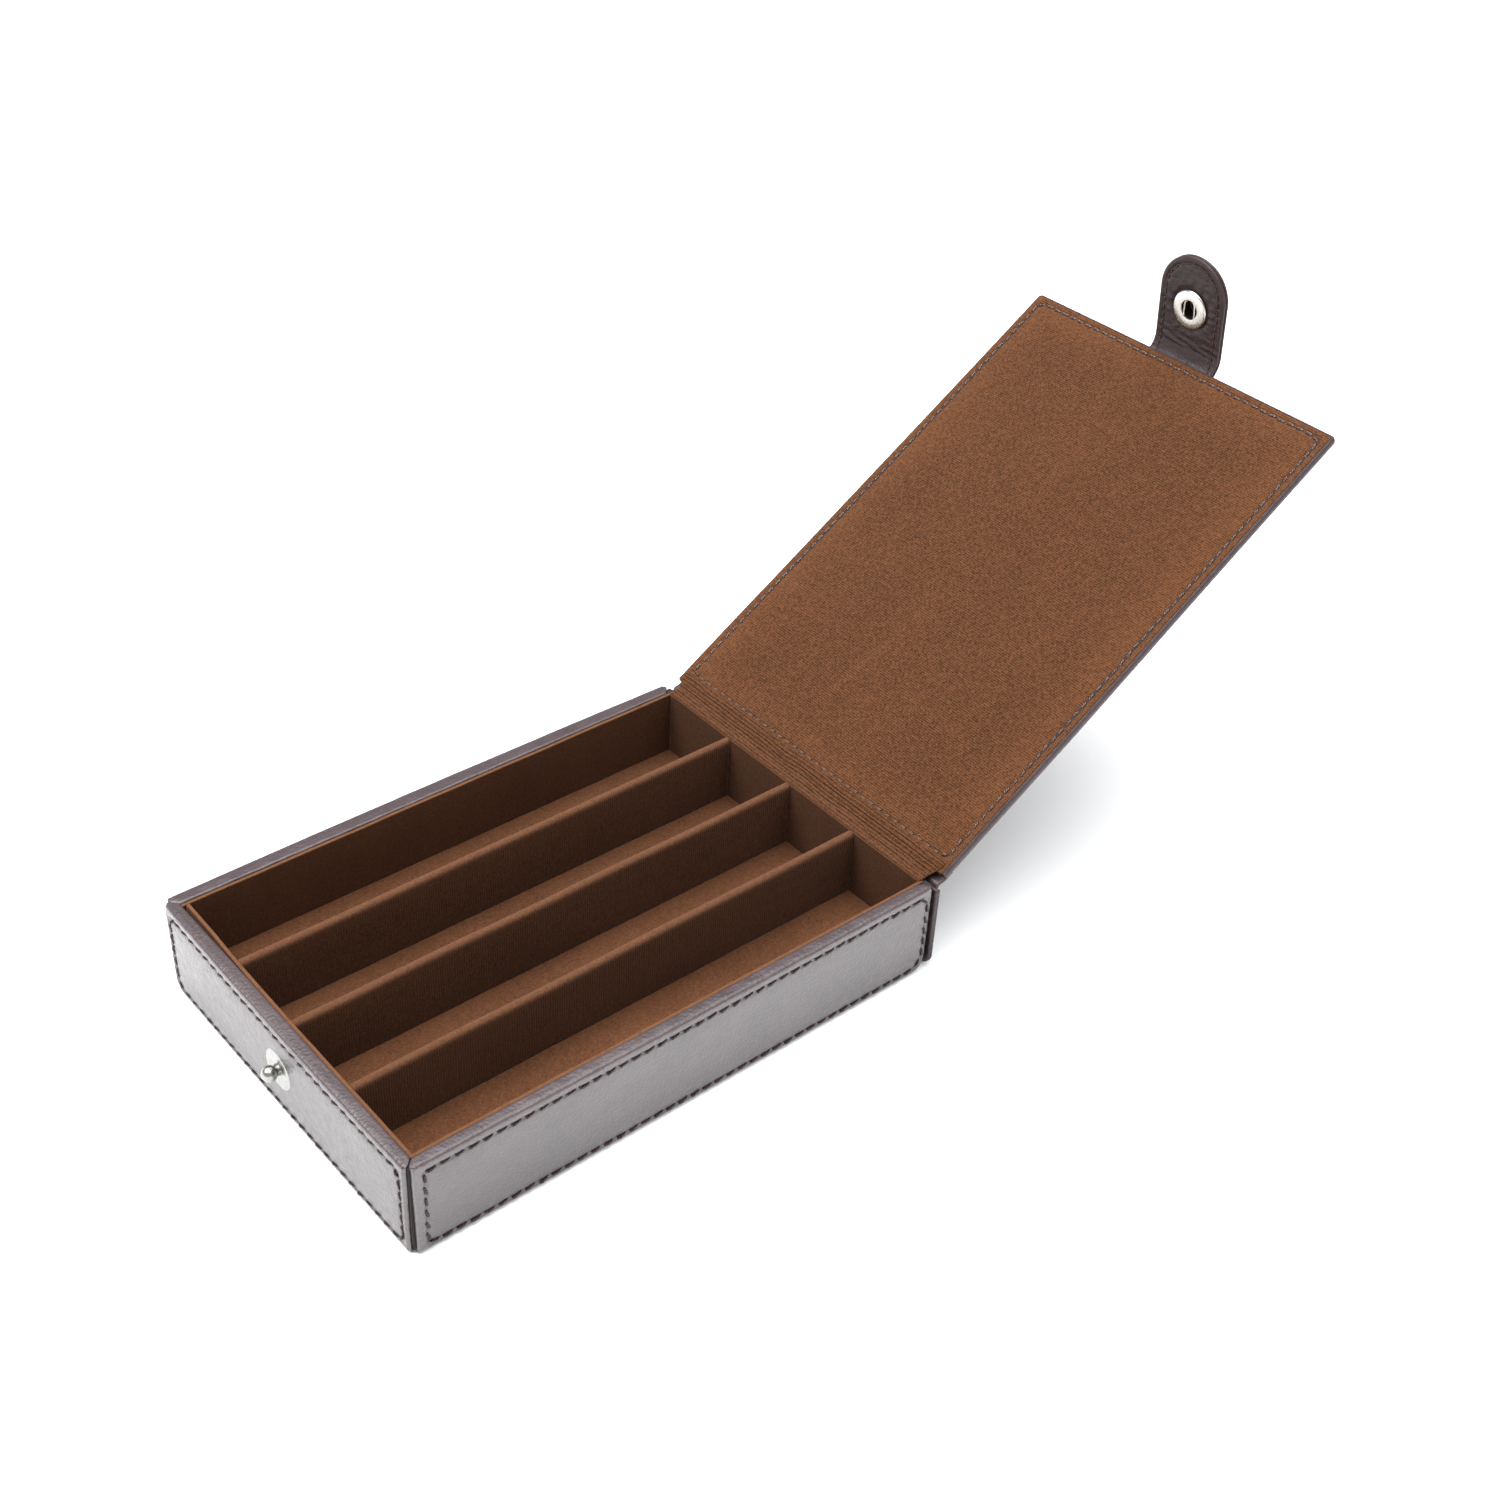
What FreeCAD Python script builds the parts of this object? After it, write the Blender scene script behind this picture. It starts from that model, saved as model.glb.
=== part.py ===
import FreeCAD, Part
import Sketcher
import math
import os
import re

# A leather pen case: an open tray with four compartments, a lid that swings on a
# leather hinge along the tray's back, and a closing tab that snaps onto a stud in
# the front wall. Millimetres. The origin is the centre of the tray's underside,
# +X to the right seen from the stud, +Y from the stud towards the hinge, +Z up.

SIZES = [
    # Tray, outside.
    ("case_length", 162.0),
    ("case_width", 112.0),
    ("case_height", 29.0),
    ("corner_seam", 0.35),
    ("corner_bevel", 0.5),
    # Wall layers, from the outside in.
    ("hide", 0.9),
    ("wall_board", 2.2),
    ("lining", 0.9),
    ("lining_top", 28.6),
    ("rim_round", 1.1),
    ("foot_round", 0.8),
    # Back wall: a folded cover of double hide on a thinner board.
    ("back_cover", 1.8),
    ("back_board", 1.3),
    ("back_cover_top", 26.5),
    ("back_cover_corner", 5.0),
    ("back_cover_width", 110.4),
    # Floor.
    ("base_board", 2.0),
    ("floor_top", 9.5),
    ("suede", 0.5),
    ("pad_play", 0.1),
    # Dividers.
    ("divider_pitch", 26.0),
    ("divider_width", 2.4),
    ("divider_top", 28.4),
    ("divider_round", 1.1),
    # Lid, in its own frame: origin on the hinge line, Y away from it, Z to the inside.
    ("hinge_level", 29.5),
    ("lid_angle", 32.26),
    ("lid_width", 110.0),
    ("lid_near", 1.5),
    ("lid_far", 162.5),
    ("lid_hide", 0.8),
    ("lid_board", 1.7),
    ("lid_lining", 0.5),
    ("lid_corner", 1.6),
    ("hinge_leather", 0.8),
    ("hinge_lining", 0.5),
    ("hinge_width", 108.0),
    # Closing tab, in its own frame: origin on its bend line, Y along it, Z to the inside.
    ("tab_axis_out", 165.0),
    ("tab_axis_down", 1.5),
    ("tab_angle", 63.0),
    ("tab_width", 23.0),
    ("tab_near", 2.5),
    ("tab_tip", 31.0),
    ("tab_layer", 1.1),
    ("tab_root", 2.0),
    ("tab_hole_radius", 3.3),
    ("tab_play", 0.2),
    ("strip_play", 0.05),
    # Snap fastener: socket and cap on the tab, stud on the front wall.
    ("snap_reach", 15.3),
    ("socket_radius", 5.9),
    ("socket_mouth", 2.6),
    ("socket_barrel", 3.2),
    ("socket_bore", 2.75),
    ("socket_proud", 1.3),
    ("ring_edge_down", 0.45),
    ("ring_edge_in", 0.55),
    ("ring_lip", 0.2),
    ("spring_slot", 0.5),
    ("spring_groove", 4.4),
    ("spring_wire", 0.22),
    ("spring_gap", 1.6),
    ("cap_radius", 6.2),
    ("cap_proud", 1.4),
    ("cap_hollow", 0.85),
    ("cap_round", 1.0),
    ("stud_level", 15.7),
    ("stud_washer_radius", 5.6),
    ("stud_washer", 0.4),
    ("stud_ball", 2.05),
    ("stud_ball_out", 2.7),
    ("stud_neck", 1.25),
    ("stud_shank", 1.0),
    ("rivet_radius", 4.0),
    ("rivet_flange", 0.5),
    # Stitching.
    ("thread_width", 0.6),
    ("thread_proud", 0.15),
    ("wall_stitch_inset", 3.0),
    ("wall_stitch_foot", 1.9),
    ("lid_stitch_inset", 3.0),
    ("lid_stitch_near", 3.9),
    ("tab_stitch_inset", 2.0),
    ("tab_stitch_near", 0.5),
]

doc = FreeCAD.newDocument("pen_case")
sheet = doc.addObject("Spreadsheet::Sheet", "Sizes")
for row, (alias, number) in enumerate(SIZES, 1):
    sheet.set(f"A{row}", alias)
    sheet.set(f"B{row}", str(number))
    sheet.setAlias(f"B{row}", alias)
doc.recompute()

ALIASES = [alias for alias, _ in SIZES]
ALIAS_WORD = re.compile(r"\b(" + "|".join(ALIASES) + r")\b")
subparts = []


def size(alias):
    """The number in the cell with this alias."""
    return float(getattr(sheet, alias))


def bind(item, prop, text):
    """Tie a property to an expression written with the sheet's aliases."""
    item.setExpression(prop, ALIAS_WORD.sub(r"Sizes.\1", text))


def keep(item, label):
    """Name a finished sub-part."""
    item.Label = label
    subparts.append(item)
    return item


def vector(x=0.0, y=0.0, z=0.0):
    return FreeCAD.Vector(x, y, z)


def turned(base, axis, angle):
    return FreeCAD.Placement(base, FreeCAD.Rotation(axis, angle))


X_AXIS = vector(1, 0, 0)
Z_AXIS = vector(0, 0, 1)
TRAY_FRAME = FreeCAD.Placement()
LID_FRAME = turned(vector(0, size("case_length") / 2, size("hinge_level")), X_AXIS, size("lid_angle"))
TAB_FRAME = LID_FRAME.multiply(
    turned(vector(0, size("tab_axis_out"), -size("tab_axis_down")), X_AXIS, size("tab_angle"))
)


# ---------------------------------------------------------------- building blocks
def box(name, sides, corner):
    """A block whose three sides and lowest corner are expressions."""
    item = doc.addObject("Part::Box", name)
    for prop, text in zip(("Length", "Width", "Height"), sides):
        bind(item, prop, text)
    for axis, text in zip("xyz", corner):
        bind(item, f"Placement.Base.{axis}", text)
    return item


def cylinder(name, radius, length, placement):
    item = doc.addObject("Part::Cylinder", name)
    bind(item, "Radius", radius)
    bind(item, "Height", length)
    item.Placement = placement
    return item


def cut(name, base, tool):
    item = doc.addObject("Part::Cut", name)
    item.Base = base
    item.Tool = tool
    return item


def fuse(name, pieces):
    item = doc.addObject("Part::MultiFuse", name)
    item.Shapes = pieces
    return item


def rounded(name, base, radius, choose):
    """Round the edges of base that choose() accepts."""
    doc.recompute()
    item = doc.addObject("Part::Fillet", name)
    item.Base = base
    edges = enumerate(base.Shape.Edges, 1)
    item.Edges = [(number, radius, radius) for number, edge in edges if choose(edge)]
    return item


def body(name, frame):
    item = doc.addObject("PartDesign::Body", name)
    item.Placement = frame
    return item


def sketch_on(item, name, role, offset="0"):
    """An empty sketch on one of the body's own origin planes, lifted by an expression."""
    plane = [feature for feature in item.Origin.OriginFeatures if feature.Role == role][0]
    sketch = item.newObject("Sketcher::SketchObject", name)
    sketch.AttachmentSupport = [(plane, "")]
    sketch.MapMode = "FlatFace"
    bind(sketch, "AttachmentOffset.Base.z", offset)
    return sketch


def constrain(sketch, kind, *where, text=None):
    """Add a constraint, tied to an expression when one is given."""
    number = sketch.addConstraint(Sketcher.Constraint(kind, *where))
    if text is not None:
        sketch.renameConstraint(number, f"size_{number}")
        bind(sketch, f"Constraints.size_{number}", text)


def polygon(sketch, corners):
    """A closed outline whose corners are pairs of expressions, placed from the origin."""
    start = [vector(10 * math.cos(turn), 10 * math.sin(turn)) for turn in spread(len(corners))]
    for index, point in enumerate(start):
        sketch.addGeometry(Part.LineSegment(point, start[(index + 1) % len(start)]), False)
    for index in range(len(start)):
        constrain(sketch, "Coincident", index, 2, (index + 1) % len(start), 1)
    for index, (across, along) in enumerate(corners):
        constrain(sketch, "DistanceX", -1, 1, index, 1, 1.0, text=across)
        constrain(sketch, "DistanceY", -1, 1, index, 1, 1.0, text=along)


def spread(count):
    """Starting angles for the corners of an outline, before its sizes place them."""
    return [2 * math.pi * index / count for index in range(count)]


def rectangle(sketch, left, right, near, far):
    polygon(sketch, [(left, near), (right, near), (right, far), (left, far)])


def circle(sketch, along, radius):
    """A circle on the sketch's vertical axis."""
    sketch.addGeometry(Part.Circle(vector(0, 5, 0), Z_AXIS, 2), False)
    constrain(sketch, "PointOnObject", 0, 3, -2)
    constrain(sketch, "DistanceY", -1, 1, 0, 3, 5.0, text=along)
    constrain(sketch, "Radius", 0, 2.0, text=radius)


def pad(item, sketch, name, length):
    feature = item.newObject("PartDesign::Pad", name)
    feature.Profile = sketch
    bind(feature, "Length", length)
    return feature


def pocket(item, sketch, name, depth=None, both_ways=True):
    """Cut the sketch's outline out of the body, and prove it cut.

    Without a depth it cuts right through. One way only, it cuts along the sketch's Z axis.
    """
    doc.recompute()
    before = item.Shape.Volume
    feature = item.newObject("PartDesign::Pocket", name)
    feature.Profile = sketch
    feature.Midplane = both_ways
    feature.Reversed = not both_ways
    if depth is None:
        feature.Type = "ThroughAll"
    else:
        bind(feature, "Length", depth)
    doc.recompute()
    if item.Shape.Volume > before - 0.1:
        raise RuntimeError(f"{name} cut nothing")
    return feature


def soften(item, name, radius, choose):
    """Round the edges of the body's last feature that choose() accepts."""
    doc.recompute()
    last = item.Tip
    feature = item.newObject("PartDesign::Fillet", name)
    edges = enumerate(last.Shape.Edges, 1)
    feature.Base = (last, [f"Edge{number}" for number, edge in edges if choose(edge)])
    bind(feature, "Radius", radius)
    return feature


def lies_at(edge, axis, value):
    """True when the whole edge has this coordinate, in the frame of its own feature."""
    low = getattr(edge.BoundBox, f"{axis}Min")
    high = getattr(edge.BoundBox, f"{axis}Max")
    return abs(low - value) < 0.01 and abs(high - value) < 0.01


def slab(label, half, near, far, low, thick, frame):
    """A flat plate, symmetric about the frame's Y axis."""
    item = body(f"{label}_body", frame)
    sketch = sketch_on(item, f"{label}_outline", "XY_Plane", low)
    rectangle(sketch, f"-({half})", half, near, far)
    pad(item, sketch, f"{label}_pad", thick)
    return keep(item, label)


def strip_along_x(label, path, thick, width, frame):
    """A bent strip of constant thickness: path holds (y, z) points of its middle line."""
    sides = []
    for side in (thick / 2, -thick / 2):
        rail = []
        for index, (along, level) in enumerate(path):
            before = path[max(index - 1, 0)]
            after = path[min(index + 1, len(path) - 1)]
            run = vector(0, after[0] - before[0], after[1] - before[1]).normalize()
            rail.append(vector(-width / 2, along - side * run.z, level + side * run.y))
        sides.append(rail)
    left, right = sides
    edges = [smooth_edge(left), Part.LineSegment(left[-1], right[-1]).toShape()]
    edges += [smooth_edge(right[::-1]), Part.LineSegment(right[0], left[0]).toShape()]
    item = doc.addObject("Part::Feature", f"{label}_strip")
    item.Shape = Part.Face(Part.Wire(edges)).extrude(vector(width, 0, 0))
    item.Placement = frame
    return keep(item, label)


def smooth_edge(points):
    curve = Part.BSplineCurve()
    curve.interpolate(points)
    return curve.toShape()


# ---------------------------------------------------------------- tray
HALF_WIDTH = "case_width / 2"
HALF_LENGTH = "case_length / 2"
FLOOR_LEVEL = "hide + base_board"
BOARD_TOP = "case_height - hide"


def wall_leather(label, run, frame):
    """Hide on a wall's outer face, folded over its top, mitred at both ends.

    In its own frame the outer face is at Y = 0 and the wall runs along X.
    """
    item = body(f"{label}_body", frame)
    outline = sketch_on(item, f"{label}_outline", "XY_Plane")
    end = f"({run}) / 2 - corner_seam"
    fold = "hide + wall_board"
    blunt = f"{end} - corner_bevel"
    right = [(blunt, "0"), (blunt, "corner_bevel"), (f"{end} - ({fold})", fold)]
    left = [(f"-({across})", along) for across, along in reversed(right)]
    polygon(outline, left + right)
    pad(item, outline, f"{label}_pad", "case_height")
    hollow = sketch_on(item, f"{label}_hollow", "YZ_Plane")
    rectangle(hollow, "hide", "hide + wall_board + 1", "-1", BOARD_TOP)
    pocket(item, hollow, f"{label}_pocket")
    return item


def round_wall(item, label):
    """Round the top and the foot of a wall's hide."""
    top = size("case_height")
    soften(item, f"{label}_rim", "rim_round", lambda e: lies_at(e, "Y", 0) and lies_at(e, "Z", top))
    soften(item, f"{label}_foot", "foot_round", lambda e: lies_at(e, "Y", 0) and lies_at(e, "Z", 0))


def tray_walls():
    half_x = size("case_width") / 2
    half_y = size("case_length") / 2
    front = wall_leather("front_leather", "case_width", turned(vector(0, -half_y, 0), Z_AXIS, 0))
    hole = sketch_on(front, "front_leather_stud_hole", "XZ_Plane")
    circle(hole, "stud_level", "stud_shank")
    pocket(front, hole, "front_leather_stud_pocket")
    round_wall(front, "front_leather")
    keep(front, "front_leather")

    # The side walls stop short of the back cover, so their frames sit forward of the middle.
    side_run = "case_length - back_cover"
    side_middle = -size("back_cover") / 2
    for label, sign in (("right_leather", 1), ("left_leather", -1)):
        frame = turned(vector(sign * half_x, side_middle, 0), Z_AXIS, 90 * sign)
        side = wall_leather(label, side_run, frame)
        round_wall(side, label)
        keep(side, label)


def back_leather():
    """The double cover on the back wall, its lower corners rounded."""
    item = body("back_leather_body", TRAY_FRAME)
    outline = sketch_on(item, "back_leather_outline", "XZ_Plane", f"-({HALF_LENGTH})")
    rectangle(outline, "-back_cover_width / 2", "back_cover_width / 2", "0", "back_cover_top")
    pad(item, outline, "back_leather_pad", "back_cover")
    half = size("back_cover_width") / 2
    corner = lambda e: lies_at(e, "Z", 0) and (lies_at(e, "X", half) or lies_at(e, "X", -half))
    soften(item, "back_leather_corners", "back_cover_corner", corner)
    return keep(item, "back_leather")


def tray_boards():
    inner_half = f"({HALF_WIDTH} - hide)"
    front_y = f"-({HALF_LENGTH} - hide)"
    back_y = f"({HALF_LENGTH} - back_cover)"
    inner_run = f"{back_y} - {front_y}"
    keep(box("base_leather", (f"2 * {inner_half}", inner_run, "hide"), (f"-{inner_half}", front_y, "0")),
         "base_leather")
    keep(box("base_board", (f"2 * {inner_half}", inner_run, "base_board"),
             (f"-{inner_half}", front_y, "hide")), "base_board")

    board_height = f"{BOARD_TOP} - ({FLOOR_LEVEL})"
    front = box("front_wall_board_block", (f"2 * {inner_half}", "wall_board", board_height),
                (f"-{inner_half}", front_y, FLOOR_LEVEL))
    outward = turned(vector(0, -size("case_length") / 2, size("stud_level")), X_AXIS, 90)
    shank = cylinder("front_wall_board_bore", "stud_shank", "4 * wall_board",
                     outward.multiply(turned(vector(0, 0, -3 * size("wall_board")), Z_AXIS, 0)))
    seat_depth = size("hide") + size("wall_board")
    seat = cylinder("front_wall_board_seat", "rivet_radius", "rivet_flange",
                    outward.multiply(turned(vector(0, 0, -seat_depth), Z_AXIS, 0)))
    bored = cut("front_wall_board_bored", front, shank)
    keep(cut("front_wall_board_seated", bored, seat), "front_wall_board")

    keep(box("back_wall_board", (f"2 * {inner_half}", "back_board", board_height),
             (f"-{inner_half}", f"{back_y} - back_board", FLOOR_LEVEL)), "back_wall_board")
    side_run = f"{inner_run} - wall_board - back_board"
    for label, corner_x in (("right_wall_board", f"{inner_half} - wall_board"),
                            ("left_wall_board", f"-{inner_half}")):
        keep(box(label, ("wall_board", side_run, board_height),
                 (corner_x, f"{front_y} + wall_board", FLOOR_LEVEL)), label)


LINING_OUTER_X = f"({HALF_WIDTH} - hide - wall_board)"
LINING_INNER_X = f"({HALF_WIDTH} - hide - wall_board - lining)"
LINING_OUTER_Y = f"({HALF_LENGTH} - hide - wall_board)"
LINING_INNER_Y = f"({HALF_LENGTH} - hide - wall_board - lining)"


def tray_linings():
    height = f"lining_top - ({FLOOR_LEVEL})"
    for label, corner_x in (("right_lining", LINING_INNER_X), ("left_lining", f"-{LINING_OUTER_X}")):
        keep(box(label, ("lining", f"2 * {LINING_OUTER_Y}", height),
                 (corner_x, f"-{LINING_OUTER_Y}", FLOOR_LEVEL)), label)
    for label, corner_y in (("back_lining", LINING_INNER_Y), ("front_lining", f"-{LINING_OUTER_Y}")):
        keep(box(label, (f"2 * {LINING_INNER_X}", "lining", height),
                 (f"-{LINING_INNER_X}", corner_y, FLOOR_LEVEL)), label)


def dividers():
    """Three board cores, each with a suede cover folded over its top."""
    run = f"2 * {LINING_INNER_Y}"
    top = size("divider_top")
    for number in (1, 2, 3):
        middle = f"{number - 2} * divider_pitch"
        cover_sides = ("divider_width", run, f"divider_top - ({FLOOR_LEVEL})")
        cover = box(f"divider_{number}_block", cover_sides,
                    (f"{middle} - divider_width / 2", f"-{LINING_INNER_Y}", FLOOR_LEVEL))
        crown = lambda e: lies_at(e, "Z", top) and e.Length > 100
        crowned = rounded(f"divider_{number}_crown", cover, size("divider_round"), crown)
        core_sides = ("divider_width - 2 * suede", run, f"divider_top - suede - ({FLOOR_LEVEL})")
        core_corner = (f"{middle} - divider_width / 2 + suede", f"-{LINING_INNER_Y}", FLOOR_LEVEL)
        slot = box(f"divider_{number}_slot", core_sides, core_corner)
        keep(cut(f"divider_{number}_cover", crowned, slot), f"divider_suede_{number}")
        keep(box(f"divider_{number}_core", core_sides, core_corner), f"divider_core_{number}")


def floor_pads():
    """A foam strip in a suede cover on the floor of each compartment."""
    run = f"2 * ({LINING_INNER_Y} - pad_play)"
    edges = [f"-{LINING_INNER_X}", "-divider_pitch", "0", "divider_pitch", LINING_INNER_X]
    for number in (1, 2, 3, 4):
        left = edges[number - 1] + (" + divider_width / 2" if number > 1 else "") + " + pad_play"
        right = edges[number] + (" - divider_width / 2" if number < 4 else "") + " - pad_play"
        width = f"({right}) - ({left})"
        cover = box(f"floor_{number}_block", (width, run, f"floor_top - ({FLOOR_LEVEL})"),
                    (left, f"-({LINING_INNER_Y} - pad_play)", FLOOR_LEVEL))
        foam_sides = (f"{width} - 2 * suede", f"{run} - 2 * suede", f"floor_top - suede - ({FLOOR_LEVEL})")
        foam_corner = (f"{left} + suede", f"-({LINING_INNER_Y} - pad_play) + suede", FLOOR_LEVEL)
        hollow = box(f"floor_{number}_hollow", foam_sides, foam_corner)
        keep(cut(f"floor_{number}_cover", cover, hollow), f"floor_suede_{number}")
        keep(box(f"floor_{number}_foam", foam_sides, foam_corner), f"floor_foam_{number}")


# ---------------------------------------------------------------- lid and hinge
def lid():
    half = "lid_width / 2"
    thick = "lid_hide + lid_board + lid_lining"
    inner = f"{half} - lid_hide"
    far_inner = "lid_far - lid_hide"
    item = body("lid_leather_body", LID_FRAME)
    outline = sketch_on(item, "lid_leather_outline", "XY_Plane", f"-({thick})")
    rectangle(outline, f"-({half})", half, "lid_near", "lid_far")
    pad(item, outline, "lid_leather_pad", thick)
    hollow = sketch_on(item, "lid_leather_hollow", "XY_Plane", "-lid_board - lid_lining")
    rectangle(hollow, f"-({inner})", inner, "lid_near - 1", far_inner)
    pocket(item, hollow, "lid_leather_recess", thick, both_ways=False)
    notch = sketch_on(item, "lid_leather_notch", "XZ_Plane", "-lid_far")
    notch_half = "(tab_width / 2 + tab_play)"
    root_half = "(tab_root + tab_play) / 2"
    rectangle(notch, f"-{notch_half}", notch_half, f"-tab_axis_down - {root_half}",
              f"-tab_axis_down + {root_half}")
    pocket(item, notch, "lid_leather_mouth", "2 * lid_hide")
    outside = size("lid_width") / 2
    far = size("lid_far")
    upright = lambda e: lies_at(e, "Y", far) and (lies_at(e, "X", outside) or lies_at(e, "X", -outside))
    soften(item, "lid_leather_corners", "lid_corner", upright)
    keep(item, "lid_leather")

    slab("lid_board", inner, "lid_near", far_inner, "-lid_board - lid_lining", "lid_board", LID_FRAME)
    slab("lid_lining", inner, "lid_near", far_inner, "-lid_lining", "lid_lining", LID_FRAME)


def from_lid(along, inward):
    """Row-frame (y, z) of a point of the lid's frame."""
    point = LID_FRAME.multVec(vector(0, along, inward))
    return (point.y, point.z)


def hinge_strips():
    """The outer leather and the ribbed inner lining that bend as the lid swings.

    The points between a strip's ends are placed by hand, for an even bend.
    """
    back = size("case_length") / 2
    play = size("strip_play")
    thick = size("hinge_leather")
    outside = back - thick / 2
    top = size("back_cover_top")
    lid_middle = -size("lid_lining") - size("lid_board") - thick / 2
    near = size("lid_near")
    leather_path = [
        (outside, top + play),
        (outside, top + 0.5),
        (outside + 0.35, top + 1.15),
        (outside + 1.2, top + 1.5),
        (outside + 2.1, top + 1.3),
        from_lid(near - 0.5, lid_middle),
        from_lid(near - play, lid_middle),
    ]
    strip_along_x("hinge_leather", leather_path, thick, size("hinge_width"), TRAY_FRAME)

    thin = size("hinge_lining")
    rest = size("case_height") - size("hide") + thin / 2 + play
    start = back - size("hide") - size("wall_board") + play
    lining_path = [
        (start, rest),
        (start + 0.8, rest),
        (start + 1.6, rest + 0.04),
        (start + 2.5, rest + 0.35),
        from_lid(0.1, -thin / 2 - 0.08),
        from_lid(near - 0.5, -thin / 2),
        from_lid(near - play, -thin / 2),
    ]
    strip_along_x("hinge_lining", lining_path, thin, size("hinge_width") - 4, TRAY_FRAME)


# ---------------------------------------------------------------- closing tab
def tab_outline(sketch, inset="0", near="tab_near"):
    """Two straight sides and a round tip, symmetric about the tab's Y axis."""
    half = f"(tab_width / 2 - ({inset}))"
    middle = "tab_tip - tab_width / 2"
    turn = Part.ArcOfCircle(Part.Circle(vector(0, 20, 0), Z_AXIS, 11), 0, math.pi)
    sketch.addGeometry(turn, False)
    sketch.addGeometry(Part.LineSegment(vector(-11, 20), vector(-11, 3)), False)
    sketch.addGeometry(Part.LineSegment(vector(-11, 3), vector(11, 3)), False)
    sketch.addGeometry(Part.LineSegment(vector(11, 3), vector(11, 20)), False)
    for first, end, second, start in ((0, 2, 1, 1), (1, 2, 2, 1), (2, 2, 3, 1), (3, 2, 0, 1)):
        constrain(sketch, "Coincident", first, end, second, start)
    constrain(sketch, "PointOnObject", 0, 3, -2)
    constrain(sketch, "Vertical", 1)
    constrain(sketch, "Vertical", 3)
    constrain(sketch, "Horizontal", 2)
    constrain(sketch, "Horizontal", 0, 1, 0, 2)
    constrain(sketch, "DistanceY", -1, 1, 0, 3, 20.0, text=middle)
    constrain(sketch, "DistanceY", -1, 1, 2, 1, 3.0, text=near)
    constrain(sketch, "DistanceX", -1, 1, 3, 1, 11.0, text=half)
    constrain(sketch, "Horizontal", 0, 3, 0, 1)


def tab():
    for label, low in (("tab_inner_leather", "0"), ("tab_outer_leather", "-tab_layer")):
        item = body(f"{label}_body", TAB_FRAME)
        outline = sketch_on(item, f"{label}_outline", "XY_Plane", low)
        tab_outline(outline)
        pad(item, outline, f"{label}_pad", "tab_layer")
        hole = sketch_on(item, f"{label}_hole", "XY_Plane", low)
        circle(hole, "snap_reach", "tab_hole_radius")
        pocket(item, hole, f"{label}_bore")
        keep(item, label)

    # The flexible root, from inside the lid's far edge round to the tab.
    angle = math.radians(size("tab_angle"))
    out = size("tab_axis_out")
    down = -size("tab_axis_down")
    inside = size("lid_far") - size("lid_hide") + size("strip_play")

    def up_tab(reach):
        return (out + reach * math.cos(angle), down + reach * math.sin(angle))

    root_path = [(inside, down), (inside + 0.8, down), (inside + 1.9, down + 0.05), up_tab(0.6),
                 up_tab(size("tab_near") - 0.7), up_tab(size("tab_near") - 0.1)]
    strip_along_x("tab_root", root_path, size("tab_root"), size("tab_width"), LID_FRAME)


# ---------------------------------------------------------------- snap fastener
def snap_socket():
    """Rolled ring and barrel, with an inner groove for the spring."""
    item = body("snap_socket_body", TAB_FRAME.multiply(turned(vector(0, size("snap_reach"), 0), Z_AXIS, 0)))
    profile = sketch_on(item, "snap_socket_profile", "XZ_Plane")
    face = "tab_layer + socket_proud"
    polygon(
        profile,
        [
            ("socket_bore", "-tab_layer"),
            ("socket_barrel", "-tab_layer"),
            ("socket_barrel", "tab_layer"),
            ("socket_radius", "tab_layer"),
            ("socket_radius", f"{face} - ring_edge_down"),
            ("socket_radius - ring_edge_in", face),
            ("socket_mouth", face),
            ("socket_mouth", f"{face} - ring_lip"),
            ("spring_groove", f"{face} - ring_lip"),
            ("spring_groove", f"{face} - ring_lip - spring_slot"),
            ("socket_bore", f"{face} - ring_lip - spring_slot"),
        ],
    )
    turn = item.newObject("PartDesign::Revolution", "snap_socket_turn")
    turn.Profile = profile
    turn.ReferenceAxis = (profile, ["V_Axis"])
    turn.Angle = 360.0
    return keep(item, "snap_socket")


def snap_spring():
    """Round wire bent to two straight legs that grip the stud's neck."""
    gap = size("spring_gap")
    leg = size("socket_mouth")
    wire = size("spring_wire")
    start = vector(gap, -leg, 0)
    path = Part.Wire([
        Part.LineSegment(start, vector(gap, leg - wire * 2, 0)).toShape(),
        Part.Arc(vector(gap, leg - wire * 2, 0), vector(0, leg - wire * 2 + gap, 0),
                 vector(-gap, leg - wire * 2, 0)).toShape(),
        Part.LineSegment(vector(-gap, leg - wire * 2, 0), vector(-gap, -leg, 0)).toShape(),
    ])
    section = Part.Wire([Part.Circle(start, vector(0, 1, 0), wire).toShape()])
    item = doc.addObject("Part::Feature", "snap_spring_wire")
    item.Shape = path.makePipeShell([section], True, True)
    face = size("tab_layer") + size("socket_proud")
    level = face - size("ring_lip") - size("spring_slot") / 2
    item.Placement = TAB_FRAME.multiply(turned(vector(0, size("snap_reach"), level), Z_AXIS, 0))
    return keep(item, "snap_spring")


def snap_cap():
    """Domed cap on the tab's outer side, hollow where the stud's ball comes."""
    outward = TAB_FRAME.multiply(turned(vector(0, size("snap_reach"), -size("tab_layer")), X_AXIS, 180))
    disc = cylinder("snap_cap_disc", "cap_radius", "cap_proud", outward)
    crest = outward.multVec(vector(0, 0, size("cap_proud")))
    rim = lambda e: (e.BoundBox.Center - crest).Length < 0.01
    domed = rounded("snap_cap_dome", disc, size("cap_round"), rim)
    hollow = cylinder("snap_cap_hollow", "socket_bore", "cap_hollow", outward)
    return keep(cut("snap_cap_cut", domed, hollow), "snap_cap")


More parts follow.
